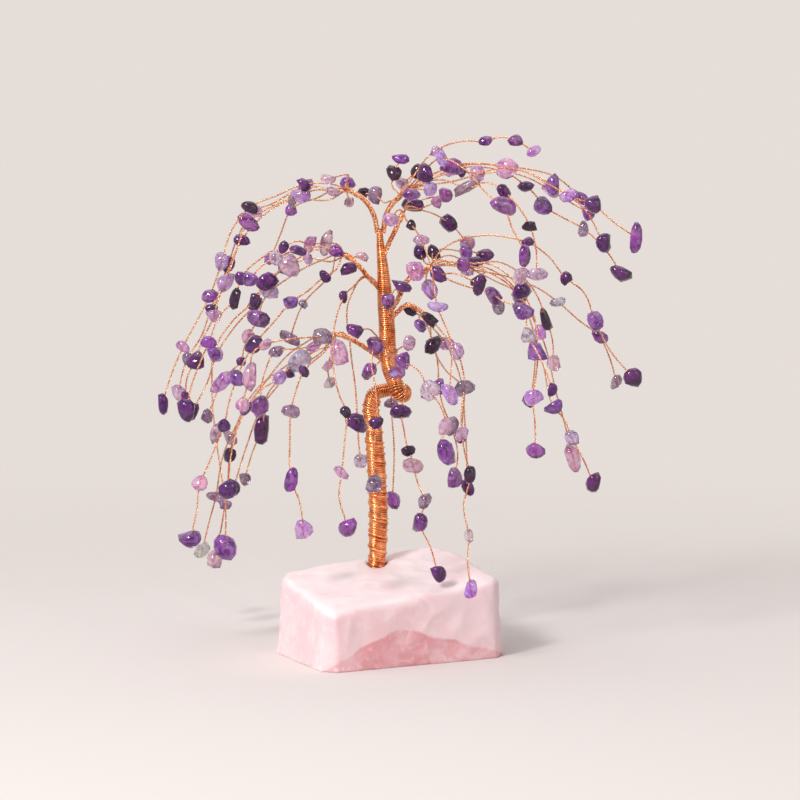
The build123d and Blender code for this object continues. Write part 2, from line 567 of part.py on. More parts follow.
for bough_name, bough_stations in bough_routes.items():
    bough_corners = []
    for across_px, down_px, depth_share in bough_stations:
        bough_corners.append(crown_point(across_px, down_px, depth_share * half_depth))
    roots = []
    lengths = []
    chips = {"deep": [], "violet": [], "pale": [], "smoky": []}
    chip_count = 0
    for tip_share, stations in strand_routes[bough_name]:
        root = nearest_corner(bough_corners, stations)
        wire_lengths, strand_chips = strand_pieces(root, tip_share, stations)
        roots.append(wire_along(wire_lengths[0], strand_gauge))
        for corners in wire_lengths[1:]:
            lengths.append(wire_along(corners, strand_gauge))
        for centre, direction, shape in strand_chips:
            form = chip_forms_shares[chip_count % len(chip_forms_shares)]
            chips[tone_nodes[shape[3]]].append(drilled_chip(centre, direction, shape, form))
            chip_count += 1

    # Bough: the bundle, with the strands' own wires leaving it
    bundle = wire_along(bough_corners, bough_gauge)
    with BuildPart() as bough:
        add(bundle)
        add(roots)
        add(trunk_core.part, mode=Mode.SUBTRACT)
    named_pieces.append((bough_name + "_bough", bough))

    if lengths:
        with BuildPart() as strands:
            add(lengths)
        named_pieces.append((bough_name + "_strands", strands))

    for tone, tone_chips in chips.items():
        if tone_chips:
            with BuildPart() as chips_of_tone:
                add(tone_chips)
            named_pieces.append((bough_name + "_" + tone + "_chips", chips_of_tone))

for piece_name, piece in named_pieces:
    piece.part.label = piece_name
    export_step(piece.part, "parts/" + piece_name + ".step")

print("nodes", len(named_pieces))
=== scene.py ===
"""A wire tree with amethyst chips that stands in a block of rose quartz.

The file is laid out as an add-on, with one operator for each kind of piece. Lengths are in metres,
the origin is on the underside of the stone, +Z is up and the front of the tree faces -Y.
"""

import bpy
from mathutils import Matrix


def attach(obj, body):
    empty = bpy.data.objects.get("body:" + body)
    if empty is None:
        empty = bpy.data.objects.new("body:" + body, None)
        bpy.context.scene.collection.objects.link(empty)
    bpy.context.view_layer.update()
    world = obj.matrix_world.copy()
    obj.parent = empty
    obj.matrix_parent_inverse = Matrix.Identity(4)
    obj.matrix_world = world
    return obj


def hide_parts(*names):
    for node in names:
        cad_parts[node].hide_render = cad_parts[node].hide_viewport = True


bl_info = {
    "name": "Gemstone Wire Tree",
    "version": (1, 0, 0),
    "blender": (4, 5, 0),
    "location": "3D Viewport > Sidebar > Gem Tree",
    "description": "Twisted copper wire tree with amethyst chips in a rose quartz block",
    "category": "Add Mesh",
}

from math import cos, pi, radians, sin, sqrt
from random import Random

import bmesh
import bpy
from bpy.props import FloatProperty, FloatVectorProperty, IntProperty, PointerProperty
from mathutils import Matrix, Vector, noise
from mathutils.geometry import interpolate_bezier

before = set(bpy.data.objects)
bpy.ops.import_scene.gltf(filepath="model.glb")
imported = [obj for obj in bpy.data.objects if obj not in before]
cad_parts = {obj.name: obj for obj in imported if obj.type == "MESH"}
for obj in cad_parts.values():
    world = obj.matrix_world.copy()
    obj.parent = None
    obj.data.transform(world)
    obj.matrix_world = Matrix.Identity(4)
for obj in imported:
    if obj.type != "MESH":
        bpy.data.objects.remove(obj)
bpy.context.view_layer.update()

BODY = "root"
MM = 0.001

# The object's sizes and the same sizes in the picture.
TREE_HEIGHT = 0.217
CROWN_WIDTH = 0.205
CROWN_DEPTH = 0.112
TRUNK_SET_BACK = 0.016
VIEW_TILT = radians(9)
TREE_HEIGHT_PX = 516
CROWN_WIDTH_PX = 489
ORIGIN_PX = (387.5, 653)
PICTURE_PX = 800

# Tones of the chips, and the CAD node that holds each.
TONE_NODES = {
    "dark": "deep",
    "deep": "deep",
    "violet": "violet",
    "lilac": "pale",
    "pink": "pale",
    "smoky": "smoky",
    "clear": "smoky",
}
dark, deep, violet, lilac, pink, smoky, clear = TONE_NODES


# Boughs: stations in the picture, each with its depth in shares of half the crown's depth.

bough_routes = {
    "top_left": [(377.6, 234, 0.0), (373.5, 215.5, 0.0), (365.5, 202.5, 0.01), (352, 193, 0.02)],
    "top_right": [(383.2, 234, 0.0), (386.5, 215.5, 0.0), (391, 207, 0.0), (400, 198, 0.0)],
    "crown_right": [(384, 256, 0.0), (390.5, 241, -0.06), (397, 228, -0.1), (402, 216, -0.12)],
    "mid_left": [(379, 289, 0.0), (368.5, 278, -0.05), (357, 265, -0.06), (345, 256, -0.06)],
    "mid_right": [(387, 316, 0.0), (398, 300, -0.16), (408, 281, -0.2), (428, 270, -0.2)],
    "low_left": [(384, 361, 0.0), (367, 349, -0.08), (352, 340, -0.1), (338, 335, -0.1)],
    "low_right": [(388, 325, 0.0), (398, 312, -0.14), (407, 306, -0.18), (421, 312, -0.18)],
    "front": [(386, 341, 0.0), (384, 348, -0.2), (390, 352, -0.26)],
}

# Strands: the depth of the tip in shares of half the crown's depth, then the stations in the picture.
# A station of two numbers is a bend. One with more is a chip: its place, its length, its width,
# how far it leans from upright in degrees, and its tone.
strand_routes = {
    "top_left": [
        (-0.45, [(346, 178), (329, 183, 14, 9, 90, pink)]),
        (-0.12, [(337, 187), (304, 186.5, 13, 13, 0, deep), (278, 197), (250.5, 209.5, 16, 12.5, 90, dark),
            (235, 227.5), (222.5, 262.5, 17, 13, 165, lilac), (217, 280), (210.5, 297, 15, 12, 90, violet),
            (198, 321), (184, 347, 14, 9, 125, lilac), (171, 378), (163, 404, 20, 11, 10, deep)]),
        (0.18, [(342, 193), (333.5, 193, 13, 9, 100, pink), (318, 191), (301.5, 196.5, 17, 14, 70, lilac),
            (273, 207), (248.5, 223.5, 22, 13, 135, violet), (236, 253), (225.5, 283, 17, 16, 0, lilac),
            (217, 303), (213.5, 316.5, 12, 11, 0, pink), (203, 338), (194.5, 360, 17, 17, 0, deep),
            (186, 380), (185, 396, 10, 9, 0, deep)]),
        (0.6, [(329, 201), (292.5, 200.5, 13, 11, 45, smoky), (262, 217), (241.5, 240, 15.5, 10, 90, deep),
            (224, 277), (210, 308, 12, 9, 100, deep), (199, 337), (185.5, 358.5, 12, 10, 0, smoky),
            (179, 378), (176.5, 393, 16, 14, 0, pink)]),
        (0.74, [(315, 199), (290.5, 209.5, 11, 11, 0, violet), (279, 234), (270, 256.5, 13, 13, 0, violet)]),
        (0.92, [(330, 190), (306, 187, 16, 12, 60, violet), (272, 203), (252, 211, 17, 13, 80, lilac),
            (236, 236), (226, 263, 16, 12, 20, deep), (216, 290), (211, 313, 14, 12, 70, pink)]),
        (0.36, [(348, 183, 15, 11, 100, violet)]),
        (0.25, [(349, 203, 9, 9, 0, clear)]),
    ],
    "mid_left": [
        (-0.42, [(338, 246), (326.5, 244, 25, 11, 10, clear), (319, 245), (311, 246, 15, 12, 0, pink),
            (298, 243), (284.5, 249, 12, 9, 30, deep), (262.5, 260), (242.5, 280, 13, 12, 0, deep),
            (236.5, 300, 20, 10, 20, dark), (222, 316), (210.5, 343, 15, 11, 100, violet), (201, 365),
            (192.5, 388.5), (187.5, 410.5, 22, 16, 0, deep)]),
        (-0.72, [(341, 252), (337, 252.5, 14, 12, 80, violet), (318, 249), (299.5, 253, 16, 9, 115, deep),
            (288, 256), (278, 261, 13, 12, 0, clear), (266, 267), (253, 281, 14, 14, 0, violet)]),
        (0.06, [(334, 262), (308, 259.5, 10, 9, 0, pink), (300, 262), (290, 266, 20, 19, 0, pink), (278, 273),
            (267, 282.5, 20, 16, 60, deep), (260, 291), (254, 301, 14, 9, 20, deep), (234, 320),
            (214, 353, 14, 13, 0, violet), (212, 385), (215, 433.5, 18, 13, 165, clear), (221, 475),
            (225, 510), (224.5, 547.5, 23, 21, 0, violet)]),
        (0.42, [(320, 262), (288, 279), (270, 292.5, 16, 12, 90, lilac), (262, 303),
            (258, 319, 21, 15, 100, violet), (252.5, 328), (247.5, 337, 14, 12, 0, pink), (243, 349),
            (240, 361.5, 9, 9, 0, deep), (230, 371), (219.5, 383, 26, 13, 45, lilac), (213, 399),
            (206, 416, 13, 11, 20, smoky)]),
        (-0.2, [(336, 271), (325, 277.5, 13, 9, 140, deep), (308, 292), (291, 303.5, 14, 12, 90, violet),
            (275, 322), (255, 345, 18, 14, 30, deep), (245, 361), (237.5, 378, 15, 14, 0, violet), (230, 401),
            (224.5, 425, 13, 12, 0, deep), (217, 444), (208, 466), (200.5, 483, 14, 14, 30, pink), (197, 510),
            (191, 538.5, 20, 17, 60, violet)]),
        (0.66, [(330, 276), (302.5, 304, 9, 9, 0, smoky), (294, 322), (289, 338, 22, 10, 120, smoky)]),
        (-0.9, [(352, 289), (344.5, 298, 12, 9, 155, deep), (335, 328), (334, 365), (340, 395),
            (347, 412, 12, 9, 140, dark), (345.5, 440), (342.5, 472, 16, 10, 150, lilac), (340, 492),
            (348.5, 525, 17, 17, 0, violet)]),
        (-0.66, [(350, 300), (351, 350), (356, 390), (358, 422, 22, 15, 115, deep), (359, 440),
            (361, 460, 13, 12, 0, clear)]),
        (0.9, [(320, 250), (286, 267, 16, 14, 40, violet), (262, 288), (254, 303, 15, 11, 30, deep),
            (232, 327), (214, 354, 14, 12, 0, lilac), (203, 385), (188, 412, 17, 13, 10, deep)]),
        (-0.3, [(349, 270, 16, 11, 70, deep)]),
        (0.25, [(362, 257, 12, 9, 90, pink)]),
    ],
    "low_left": [
        (-0.62, [(333, 334), (324, 337, 20, 14, 100, smoky), (300, 339), (267, 345.5, 13, 10, 70, pink),
            (256, 352), (251.5, 377, 26, 13, 10, pink), (244, 404, 13, 12, 0, pink)]),
        (0.3, [(332, 340), (314, 346, 15, 9, 50, lilac), (295, 349), (276, 351.5, 15, 11, 90, smoky),
            (264, 373), (259, 405, 18, 17, 0, violet)]),
        (-0.3, [(334, 345), (321, 349), (300, 361.5, 22, 18, 60, clear), (289, 369),
            (280, 378, 14, 12, 60, lilac), (261, 391), (247, 409, 13, 12, 0, violet), (236, 436), (231, 460),
            (229.5, 489, 19, 16, 60, deep)]),
        (0.56, [(322, 352), (290, 372.5, 10, 9, 0, deep), (268, 392), (260, 430, 28, 14, 5, deep), (250, 455),
            (243, 480, 12, 11, 0, smoky)]),
        (-0.66, [(325, 352), (304.5, 371.5, 11, 10, 0, deep), (297, 390), (292, 411, 17, 12, 115, smoky),
            (291, 440), (292.5, 478.5, 23, 12, 10, violet), (301, 502), (304.5, 529, 20, 17, 20, lilac)]),
        (-0.45, [(338, 344), (340, 353, 23, 17, 0, pink)]),
        (0.14, [(332, 352), (328, 366, 12, 12, 0, pink), (328, 374), (330, 383, 12, 10, 20, clear)]),
        (0.88, [(300, 346), (262, 385), (228, 438.5, 14, 14, 0, smoky), (219, 462),
            (212.5, 498.5, 18, 10, 100, smoky), (205, 526), (198.5, 552.5, 18, 14, 15, clear)]),
        (0.62, [(300, 357), (250, 397), (228.5, 455, 14, 12, 0, dark), (226, 480),
            (222.5, 505.5, 13, 9, 105, smoky), (218, 533), (211.5, 560, 18, 14, 0, pink)]),
        (0.95, [(318, 346), (299, 363, 16, 13, 30, violet), (276, 386), (258, 410, 15, 12, 0, lilac),
            (244, 446), (230, 490, 16, 13, 20, deep)]),
    ],
    "top_right": [
        (0.1, [(410, 183), (435, 153, 9, 9, 0, lilac), (463, 143), (485, 143, 13, 9, 100, violet), (500, 139),
            (515, 142, 14, 11, 110, violet), (524, 147), (533, 153, 14, 9, 65, lilac)]),
        (-0.16, [(420, 185), (452, 168, 22, 15, 100, violet), (478, 166), (506, 170, 20, 18, 60, pink),
            (530, 176), (551.5, 187.5, 20, 14, 165, violet), (583, 211), (602, 244.5, 18, 14, 0, deep)]),
        (0.36, [(425, 183), (461.5, 173.5, 10, 9, 0, deep), (477, 175, 16, 14, 0, pink), (505, 174),
            (526, 187, 15, 11, 60, deep), (535, 195), (543, 206, 17, 17, 0, violet), (560, 216),
            (584, 229, 15, 10, 5, smoky), (608, 252), (622, 273, 22, 14, 130, deep)]),
        (-0.56, [(455, 183), (515, 172), (550, 189), (567, 199, 18, 11, 75, lilac),
            (590, 208, 17, 15, 0, deep), (612, 226), (633, 240.5, 28, 11, 5, violet)]),
        (-0.66, [(440, 182), (466.5, 190, 27, 11, 70, smoky), (487, 186), (502.5, 195, 15, 11, 160, deep),
            (518, 212), (528, 229.5, 14, 10, 100, dark), (534, 252), (535, 276.5, 18, 14, 60, clear)]),
        (-0.92, [(420, 178), (441, 162, 15, 10, 150, lilac), (462, 172), (488, 200),
            (501, 210, 24, 17, 95, violet), (510, 232), (522, 259, 20, 12, 165, violet),
            (519, 279, 15, 14, 0, pink)]),
        (0.0, [(393, 190), (394, 175, 14, 14, 0, dark), (400.5, 161, 16, 9, 95, violet)]),
        (0.24, [(402, 187, 15, 13, 0, clear), (408, 180), (417, 172, 14, 11, 30, dark)]),
        (-0.36, [(413, 189), (425, 176, 17, 14, 0, deep)]),
        (0.55, [(440, 172), (520, 168), (562, 180), (581, 197.5, 17, 11, 115, violet)]),
        (0.62, [(384, 203), (375, 195, 17, 13, 0, smoky), (370, 193), (363, 192, 11, 10, 90, dark)]),
        (0.82, [(425, 184), (452, 170, 17, 13, 80, lilac), (480, 167), (507, 171, 17, 14, 50, deep),
            (532, 178), (552, 189, 17, 13, 150, pink), (574, 202), (591, 211, 15, 13, 0, violet)]),
        (-0.34, [(430, 192, 14, 12, 0, lilac)]),
    ],
    "crown_right": [
        (0.4, [(413, 206, 20, 14, 110, deep), (426, 199), (446, 195, 14, 13, 0, violet)]),
        (0.62, [(425, 212), (449, 223, 17, 14, 140, deep), (460, 233), (468, 243, 14, 14, 0, pink)]),
        (-0.96, [(406, 222), (411.5, 228, 10, 9, 135, dark), (416, 234), (421, 243, 15, 9, 95, pink),
            (430, 268), (437, 309, 19, 9, 90, lilac), (449, 340), (449, 394, 22, 12, 155, lilac)]),
        (-0.5, [(406, 208), (411, 198, 15, 12, 60, violet)]),
        (-0.26, [(397, 213), (391, 222, 15, 12, 90, pink)]),
        (0.14, [(420, 210), (436, 203, 12, 10, 0, lilac)]),
    ],
    "mid_right": [
        (-0.1, [(440, 253), (477, 237.5), (508, 239), (527, 244, 11, 9, 60, deep), (547, 257),
            (565, 279, 12, 11, 60, deep), (582, 292), (594.5, 321.5, 17, 15, 0, violet), (609, 350),
            (632, 377, 18, 17, 0, deep)]),
        (0.5, [(434, 253, 14, 12, 0, dark), (450, 250), (466, 252.5, 14, 12, 0, violet), (475, 252),
            (485, 256, 18, 13, 70, deep)]),
        (0.28, [(445, 257), (472, 264, 18, 12, 95, deep), (500, 263), (530, 285),
            (546.5, 319, 22, 10, 170, dark), (553, 340), (554.5, 363, 15, 13, 0, pink)]),
        (-0.48, [(435, 263), (463, 266, 14, 12, 0, violet), (485, 265), (520.5, 292.5, 19, 17, 90, deep),
            (530, 310), (536.5, 350, 20, 18, 0, violet), (535, 375), (532, 397, 17, 15, 60, lilac),
            (534, 425), (534.5, 450.5, 17, 14, 125, violet)]),
        (0.62, [(480, 272), (533, 286), (558.5, 302, 15, 10, 60, clear), (580, 320),
            (601, 336.5, 17, 11, 110, violet), (612, 358), (619, 382, 15, 10, 10, smoky)]),
        (-0.75, [(438, 276, 16, 15, 0, deep), (458, 277), (478, 287, 20, 11, 20, deep)]),
        (-0.92, [(450, 282), (492.5, 297, 18, 12, 150, violet), (500, 302), (521, 313, 20, 16, 95, violet),
            (526, 336.5, 14, 13, 0, clear), (541, 366), (550, 390, 13, 9, 0, deep)]),
        (-0.3, [(500, 280), (542, 364), (553.5, 407, 18, 14, 40, violet), (564, 420),
            (571, 437, 14, 13, 0, clear), (583, 460), (592.5, 482, 19, 14, 0, deep)]),
        (0.58, [(490, 270), (540, 332, 15, 12, 0, lilac), (558, 395), (568, 430),
            (575, 458.5, 27, 14, 170, pink)]),
        (-0.42, [(422, 276), (415, 273, 17, 16, 0, pink)]),
        (-0.1, [(426, 280), (430, 290, 18, 13, 140, lilac)]),
        (0.1, [(424, 262), (420, 253, 14, 12, 0, deep)]),
        (-0.62, [(402, 288, 17, 13, 80, deep)]),
        (-0.32, [(395, 291), (388, 303, 15, 12, 0, violet)]),
        (0.9, [(446, 262), (467, 268, 15, 13, 0, pink), (494, 280), (521, 295, 16, 14, 30, deep), (532, 320),
            (537, 351, 17, 14, 0, lilac), (536, 377), (533, 400, 15, 13, 60, violet)]),
        (1.0, [(484, 270), (479, 281, 15, 11, 60, dark), (487, 292), (500, 306, 14, 12, 0, smoky)]),
    ],
    "low_right": [
        (0.36, [(410, 310, 13, 13, 0, dark), (422, 318), (433.5, 345, 17, 16, 0, dark), (438, 365),
            (439, 387, 15, 12, 165, violet), (443, 405), (451, 426, 18, 14, 20, smoky), (458, 452),
            (455.5, 478.5, 20, 14, 0, violet)]),
        (-0.76, [(430, 319.5, 17, 11, 145, dark), (442, 333), (456, 351.5, 16, 14, 150, lilac), (462, 369),
            (464, 387, 19, 14, 75, smoky), (461, 410), (461.5, 434, 13, 12, 0, pink), (464, 452),
            (469, 474, 17, 11, 0, dark), (463, 505), (468, 534, 13, 9, 5, clear), (467, 560),
            (470.5, 587, 18, 11, 10, lilac)]),
        (0.5, [(430, 325), (446, 344, 14, 13, 110, pink), (460, 375), (466, 430),
            (468.5, 488, 17, 11, 150, deep)]),
        (-0.62, [(419, 318), (420, 327, 12, 11, 0, violet)]),
        (0.93, [(429, 318), (433, 346, 15, 13, 0, violet), (446, 370), (464, 389, 16, 12, 60, pink),
            (464, 414), (462, 437, 14, 12, 0, deep)]),
    ],
    "front": [
        (-0.84, [(396, 354), (402, 361, 16, 14, 0, violet), (418, 371), (429, 391, 19, 17, 30, clear),
            (440, 406), (445, 426, 16, 13, 0, pink), (442, 437), (446, 452, 24, 18, 5, violet)]),
        (-0.56, [(392, 362), (397, 372, 15, 12, 90, lilac), (405, 390), (401, 411.5, 20, 13, 90, deep),
            (404, 430), (408.5, 450, 13, 10, 60, dark), (411, 456), (413, 465, 19, 14, 90, pink), (418, 483),
            (424.5, 500, 14, 12, 60, smoky), (420, 521, 18, 14, 0, violet), (430, 545),
            (438, 572.5, 16, 15, 0, deep)]),
        (-0.9, [(381, 338), (375, 346.5, 16, 15, 0, violet), (372, 363), (376, 390),
            (377, 423, 14, 11, 75, deep), (374, 450), (374, 482, 17, 15, 0, smoky)]),
        (-0.45, [(385, 357), (369.5, 372, 16, 14, 0, violet)]),
        (-0.62, [(375, 335), (366, 330), (355, 331.5, 16, 12, 110, deep)]),
        (0.8, [(396, 350), (393, 378), (391, 403, 13, 9, 90, smoky), (394, 450),
            (392.5, 501, 19, 14, 145, violet)]),
        (-0.5, [(401, 348), (409, 344, 14, 12, 30, clear)]),
    ],
}


# Sizes of the pieces and the stage

# Trunk: the place in the picture, the depth and the width there. The curl is half way up.
trunk_route = [
    (377.5, 585, 0.0, 14.5), (377, 563, 0.0, 16.5), (377.6, 545, 0.0, 18.2),
    (378.4, 515, 0.0, 18.8), (377.4, 487, 0.0, 18.6), (375.6, 455, 0.0, 18.0),
    (373.2, 425, 0.0, 17.0), (371.6, 403, 0.0008, 16.0), (375.4, 393.5, 0.0022, 15.0),
    (384, 390.5, 0.0036, 14.6), (396, 389, 0.0044, 14.6), (403.5, 391, 0.0022, 14.6),
    (403.5, 395.5, -0.0012, 14.8), (398.5, 392.5, -0.0036, 15.4), (394.6, 381, -0.0028, 16.4),
    (389.6, 367, -0.0008, 17.6), (387.6, 349, 0.0, 17.6), (387, 331, 0.0, 17.4),
    (385, 298, 0.0, 15.8), (382.6, 266, 0.0, 11.8), (380.4, 244, 0.0, 8.0),
    (379.6, 230, 0.0, 6.4),
]

# Winding: the trunk's steps, its points a turn, how far the core lies under its middle, its slant low
# and high on the trunk, its lumps, the coarse turns over it, and how its turns differ in shade
TRUNK_STEP = 0.4 * MM
WRAP_POINTS = 18
WRAP_SINK = 0.25 * MM
SLANT_LOW, SLANT_HIGH = 0.42, 0.05
SLANT_SWAP = 95 * MM
SLANT_BLEND = 9 * MM
LUMP_SIZE = 0.22 * MM
LUMP_SPREAD = 0.16
LUMP_GRAIN = 140
OVER_PITCHES = (4.6 * MM, 6.4 * MM)
OVER_HEIGHT = 80 * MM
OVER_RAISE = 0.12 * MM
TURN_SHADES = (0.72, 1.0)
TURN_MIDDLE, TURN_SPREAD = 0.6, 1.6
TURN_LINE = (0.5, 0.5)

# Boughs and strands: how they are drawn, and how a strand lies beside its bough until it leaves
ROUTE_REACH = 0.36
BOUGH_STEP = 0.5 * MM
STRAND_STEP = 0.28 * MM
STRAND_TAIL_SHARE = 0.8
STRAND_SPREAD = 1.15
# The two wires of a strand: the second is a darker copy of the same copper, painted shade that gives the
# twist its light and dark bands
STRAND_PAINTED_SHADES = (1.0, 0.66)
BESIDE_SHARE = 0.9
BESIDE_PITCHES = 2
BESIDE_TURN = 2.4
LEAVING_LENGTH = 6 * MM

# Chips: the flats that cut each pebble, how round its edges are, and how its tint differs
CHIP_THICKNESS = 0.8
CHIP_LEAN = 0.4
CHIP_CUTS = (1, 2)
CHIP_CUT_SPREAD = (1, 0.7, 1)
CHIP_CUT_REACH = (0.8, 1.05)
CHIP_EDGE = 3
CHIP_SWELL = 1.12
TINT_SHARES = (0.85, 1.15)

# Tones of the chips in linear colour
TONE_TINTS = {
    dark: (0.05, 0.003, 0.055),
    deep: (0.14, 0.01, 0.19),
    violet: (0.36, 0.06, 0.5),
    lilac: (0.7, 0.36, 0.82),
    pink: (0.82, 0.47, 0.68),
    smoky: (0.4, 0.24, 0.42),
    clear: (0.82, 0.7, 0.82),
}

# Finishes of the chips: the name, the colour of the veils where the panel doesn't set it, how strong they
# are, how clear the stone is and the tint of its deepest zones
CHIP_FINISHES = {
    "deep": ("deep_amethyst", None, 0.05, 0.25, (0.3, 0.2, 0.3)),
    "violet": ("violet_amethyst", None, 0.38, 0.5, (0.22, 0.08, 0.26)),
    "pale": ("pale_amethyst", (0.96, 0.89, 0.97), 0.55, 0.65, (0.6, 0.36, 0.7)),
    "smoky": ("smoky_quartz", (0.9, 0.83, 0.9), 0.4, 0.65, (0.4, 0.28, 0.42)),
}
TINT = "tint"
GRAIN_RANGE = (0.3, 0.7)
QUARTZ_IOR = 1.54
COPPER_DULLING = 0.14
# How dark the trunk's core is against the dull copper: painted shade for the gaps between the turns wound
# over it
CORE_PAINTED_SHADE_SHARE = 0.3

# Base stone: how deep its hollows and ridges are, the height below which it stays flat, and its
# deeper zone, which falls from a peak to both ends, each across and up
MERGE_DISTANCE = 0.01 * MM
STONE_HOLLOW = 0.8 * MM
STONE_RIDGE = 0.9 * MM
STONE_FOOT = 0.8 * MM
STONE_SMOOTHING = 4
HOLLOW_GRAIN = 38
RIDGE_GRAIN = 95
RIDGE_SHIFT = Vector((3, 1, 2))
ZONE_PEAK = (7 * MM, 20 * MM)
ZONE_ENDS = ((-18 * MM, 7 * MM), (50 * MM, 5 * MM))
ZONE_EDGE = 1.2 * MM
ZONE_RAGGED = 5 * MM
FROST_FACING = (0.25, 0.8)
MILKY_RANGE = (-0.3, 0.4)

# Stage: the floor and where it fades, the lamps with place, size, power and colour, and the air
FLOOR_REACH = 1.2
FADE_CENTRE = (0.0, -0.2, 0.0)
FADE_START, FADE_END = 0.32, 0.7
CAMERA_DISTANCE = 3.0
STUDIO_LAMPS = [
    ("key_lamp", (-0.75, -0.95, 1.05), (0.3, 0.36), 14.5, (1.0, 0.98, 0.96)),
    ("fill_lamp", (1.1, -0.8, 0.6), (0.8, 0.8), 2.4, (1.0, 0.98, 0.97)),
    ("left_glint", (-0.5, -1.3, 0.9), (0.1, 0.14), 1.6, (1.0, 1.0, 1.0)),
    ("right_glint", (0.7, -1.1, 1.0), (0.1, 0.14), 1.4, (1.0, 1.0, 1.0)),
    ("top_lamp", (0.1, 0.35, 1.3), (1.3, 1.1), 6.0, (1.0, 0.99, 0.98)),
]
LAMP_AIM = (0.0, 0.0, 0.1)
WORLD_COLOUR = (0.93, 0.9, 0.87)
WORLD_DIM, WORLD_LIT = 0.14, 1.0
LIGHT_ACROSS = (0.15, -0.85)


class GemTreeSizes(bpy.types.PropertyGroup):
    """Sizes of the wires, and of the cells that the base stone is shaped from."""

    strand_wire: FloatProperty(
        name="Strand wire",
        description="Diameter of each of the two wires of a strand",
        default=0.38 * MM, min=0.1 * MM, unit="LENGTH",
    )
    strand_pitch: FloatProperty(
        name="Strand twist",
        description="Length along a strand in which its two wires go once round each other",
        default=2.5 * MM, min=0.5 * MM, unit="LENGTH",
    )
    bough_wire: FloatProperty(
        name="Bough wire",
        description="Diameter of each wire of a bough",
        default=0.8 * MM, min=0.2 * MM, unit="LENGTH",
    )
    bough_wires: IntProperty(
        name="Bough wires", description="Number of wires twisted into a bough", default=3, min=2
    )
    bough_pitch: FloatProperty(
        name="Bough twist",
        description="Length along a bough in which its wires go once round",
        default=7 * MM, min=1 * MM, unit="LENGTH",
    )
    wrap_wire: FloatProperty(
        name="Winding wire",
        description="Diameter of the fine wire wound round the trunk",
        default=0.85 * MM, min=0.1 * MM, unit="LENGTH",
    )
    wrap_pitch: FloatProperty(
        name="Winding pitch",
        description="Distance between turns of the fine wire along the trunk",
        default=0.8 * MM, min=0.2 * MM, unit="LENGTH",
    )
    stone_grain: FloatProperty(
        name="Stone grain",
        description="Size of the mesh cells from which the base stone is shaped",
        default=1.2 * MM, min=0.5 * MM, unit="LENGTH",
    )


class GemTreeFinish(bpy.types.PropertyGroup):
    """Colours of the wires, stones and stage."""

    copper_bright: FloatVectorProperty(
        name="Copper",
        description="Colour of the wire where it is bright",
        default=(1.0, 0.45, 0.2), subtype="COLOR", min=0, max=1,
    )
    strand_bright: FloatVectorProperty(
        name="Strand copper",
        description="Colour of the fine wire of the strands where it is bright",
        default=(1.0, 0.56, 0.34), subtype="COLOR", min=0, max=1,
    )
    copper_shaded: FloatVectorProperty(
        name="Dull copper",
        description="Colour of the wire where it has dulled",
        default=(0.66, 0.16, 0.045), subtype="COLOR", min=0, max=1,
    )
    amethyst_veil: FloatVectorProperty(
        name="Amethyst veils",
        description="Colour of the pale veils in the deep and violet chips",
        default=(0.76, 0.55, 0.8), subtype="COLOR", min=0, max=1,
    )
    quartz_pink: FloatVectorProperty(
        name="Rose quartz",
        description="Colour of the base stone",
        default=(0.9, 0.6, 0.64), subtype="COLOR", min=0, max=1,
    )
    quartz_frost: FloatVectorProperty(
        name="Frosted quartz",
        description="Colour of the whitish top of the base stone",
        default=(0.97, 0.86, 0.88), subtype="COLOR", min=0, max=1,
    )
    quartz_deep: FloatVectorProperty(
        name="Deep quartz",
        description="Colour of the darker lower front of the base stone",
        default=(0.78, 0.34, 0.37), subtype="COLOR", min=0, max=1,
    )
    floor_colour: FloatVectorProperty(
        name="Floor",
        description="Colour of the paper under the tree",
        default=(0.78, 0.725, 0.715), subtype="COLOR", min=0, max=1,
    )
    wall_colour: FloatVectorProperty(
        name="Backdrop",
        description="Colour of the air behind the tree",
        default=(0.79, 0.725, 0.685), subtype="COLOR", min=0, max=1,
    )


# Places and routes


def crown_point(across_px, down_px, depth=0.0):
    """The place of a point of the picture: right of the origin, back from the trunk and up."""
    right = (across_px - ORIGIN_PX[0]) * CROWN_WIDTH / CROWN_WIDTH_PX
    seen_up = (ORIGIN_PX[1] - down_px) * TREE_HEIGHT / TREE_HEIGHT_PX
    back = TRUNK_SET_BACK + depth
    return Vector((right, back, (seen_up - back * sin(VIEW_TILT)) / cos(VIEW_TILT)))


def picture_size(size_px):
    return size_px * CROWN_WIDTH / CROWN_WIDTH_PX


def leaning(lean):
    """The direction that leans from upright to the right, by degrees."""
    return Vector((sin(radians(lean)), 0, cos(radians(lean))))


def bough_corners(bough_name):
    return [
        crown_point(across_px, down_px, depth_share * CROWN_DEPTH / 2)
        for across_px, down_px, depth_share in bough_routes[bough_name]
    ]


def reach_along(direction, shape):
    """How far a chip reaches from its centre along its strand."""
    long_px, wide_px, lean, _ = shape
    upright_share = direction.dot(leaning(lean))
    half_long, half_wide = picture_size(long_px) / 2, picture_size(wide_px) / 2
    return sqrt((half_long * upright_share) ** 2 + half_wide**2 * (1 - upright_share**2))


def strand_places(root, tip_share, stations):
    """The places that a strand runs through from its root, with its end, and its chips."""
    half_depth = CROWN_DEPTH / 2
    root_share = (root.y - TRUNK_SET_BACK) / half_depth
    places, hung = [root], []
    for step, station in enumerate(stations, 1):
        ease = sin(pi / 2 * step / len(stations))
        depth = half_depth * (root_share + (tip_share - root_share) * ease)
        places.append(crown_point(station[0], station[1], depth))
        if len(station) > 2:
            hung.append((places[-1], station[2:]))
    if len(stations[-1]) > 2:
        direction = (places[-1] - places[-2]).normalized()
        places.append(places[-1] + direction * reach_along(direction, hung[-1][1]) * STRAND_TAIL_SHARE)
    return places, hung


def nearest_corner(corners, stations):
    towards = crown_point(stations[0][0], stations[0][1], corners[-1].y - TRUNK_SET_BACK)
    return min(range(1, len(corners)), key=lambda step: (corners[step] - towards).length)


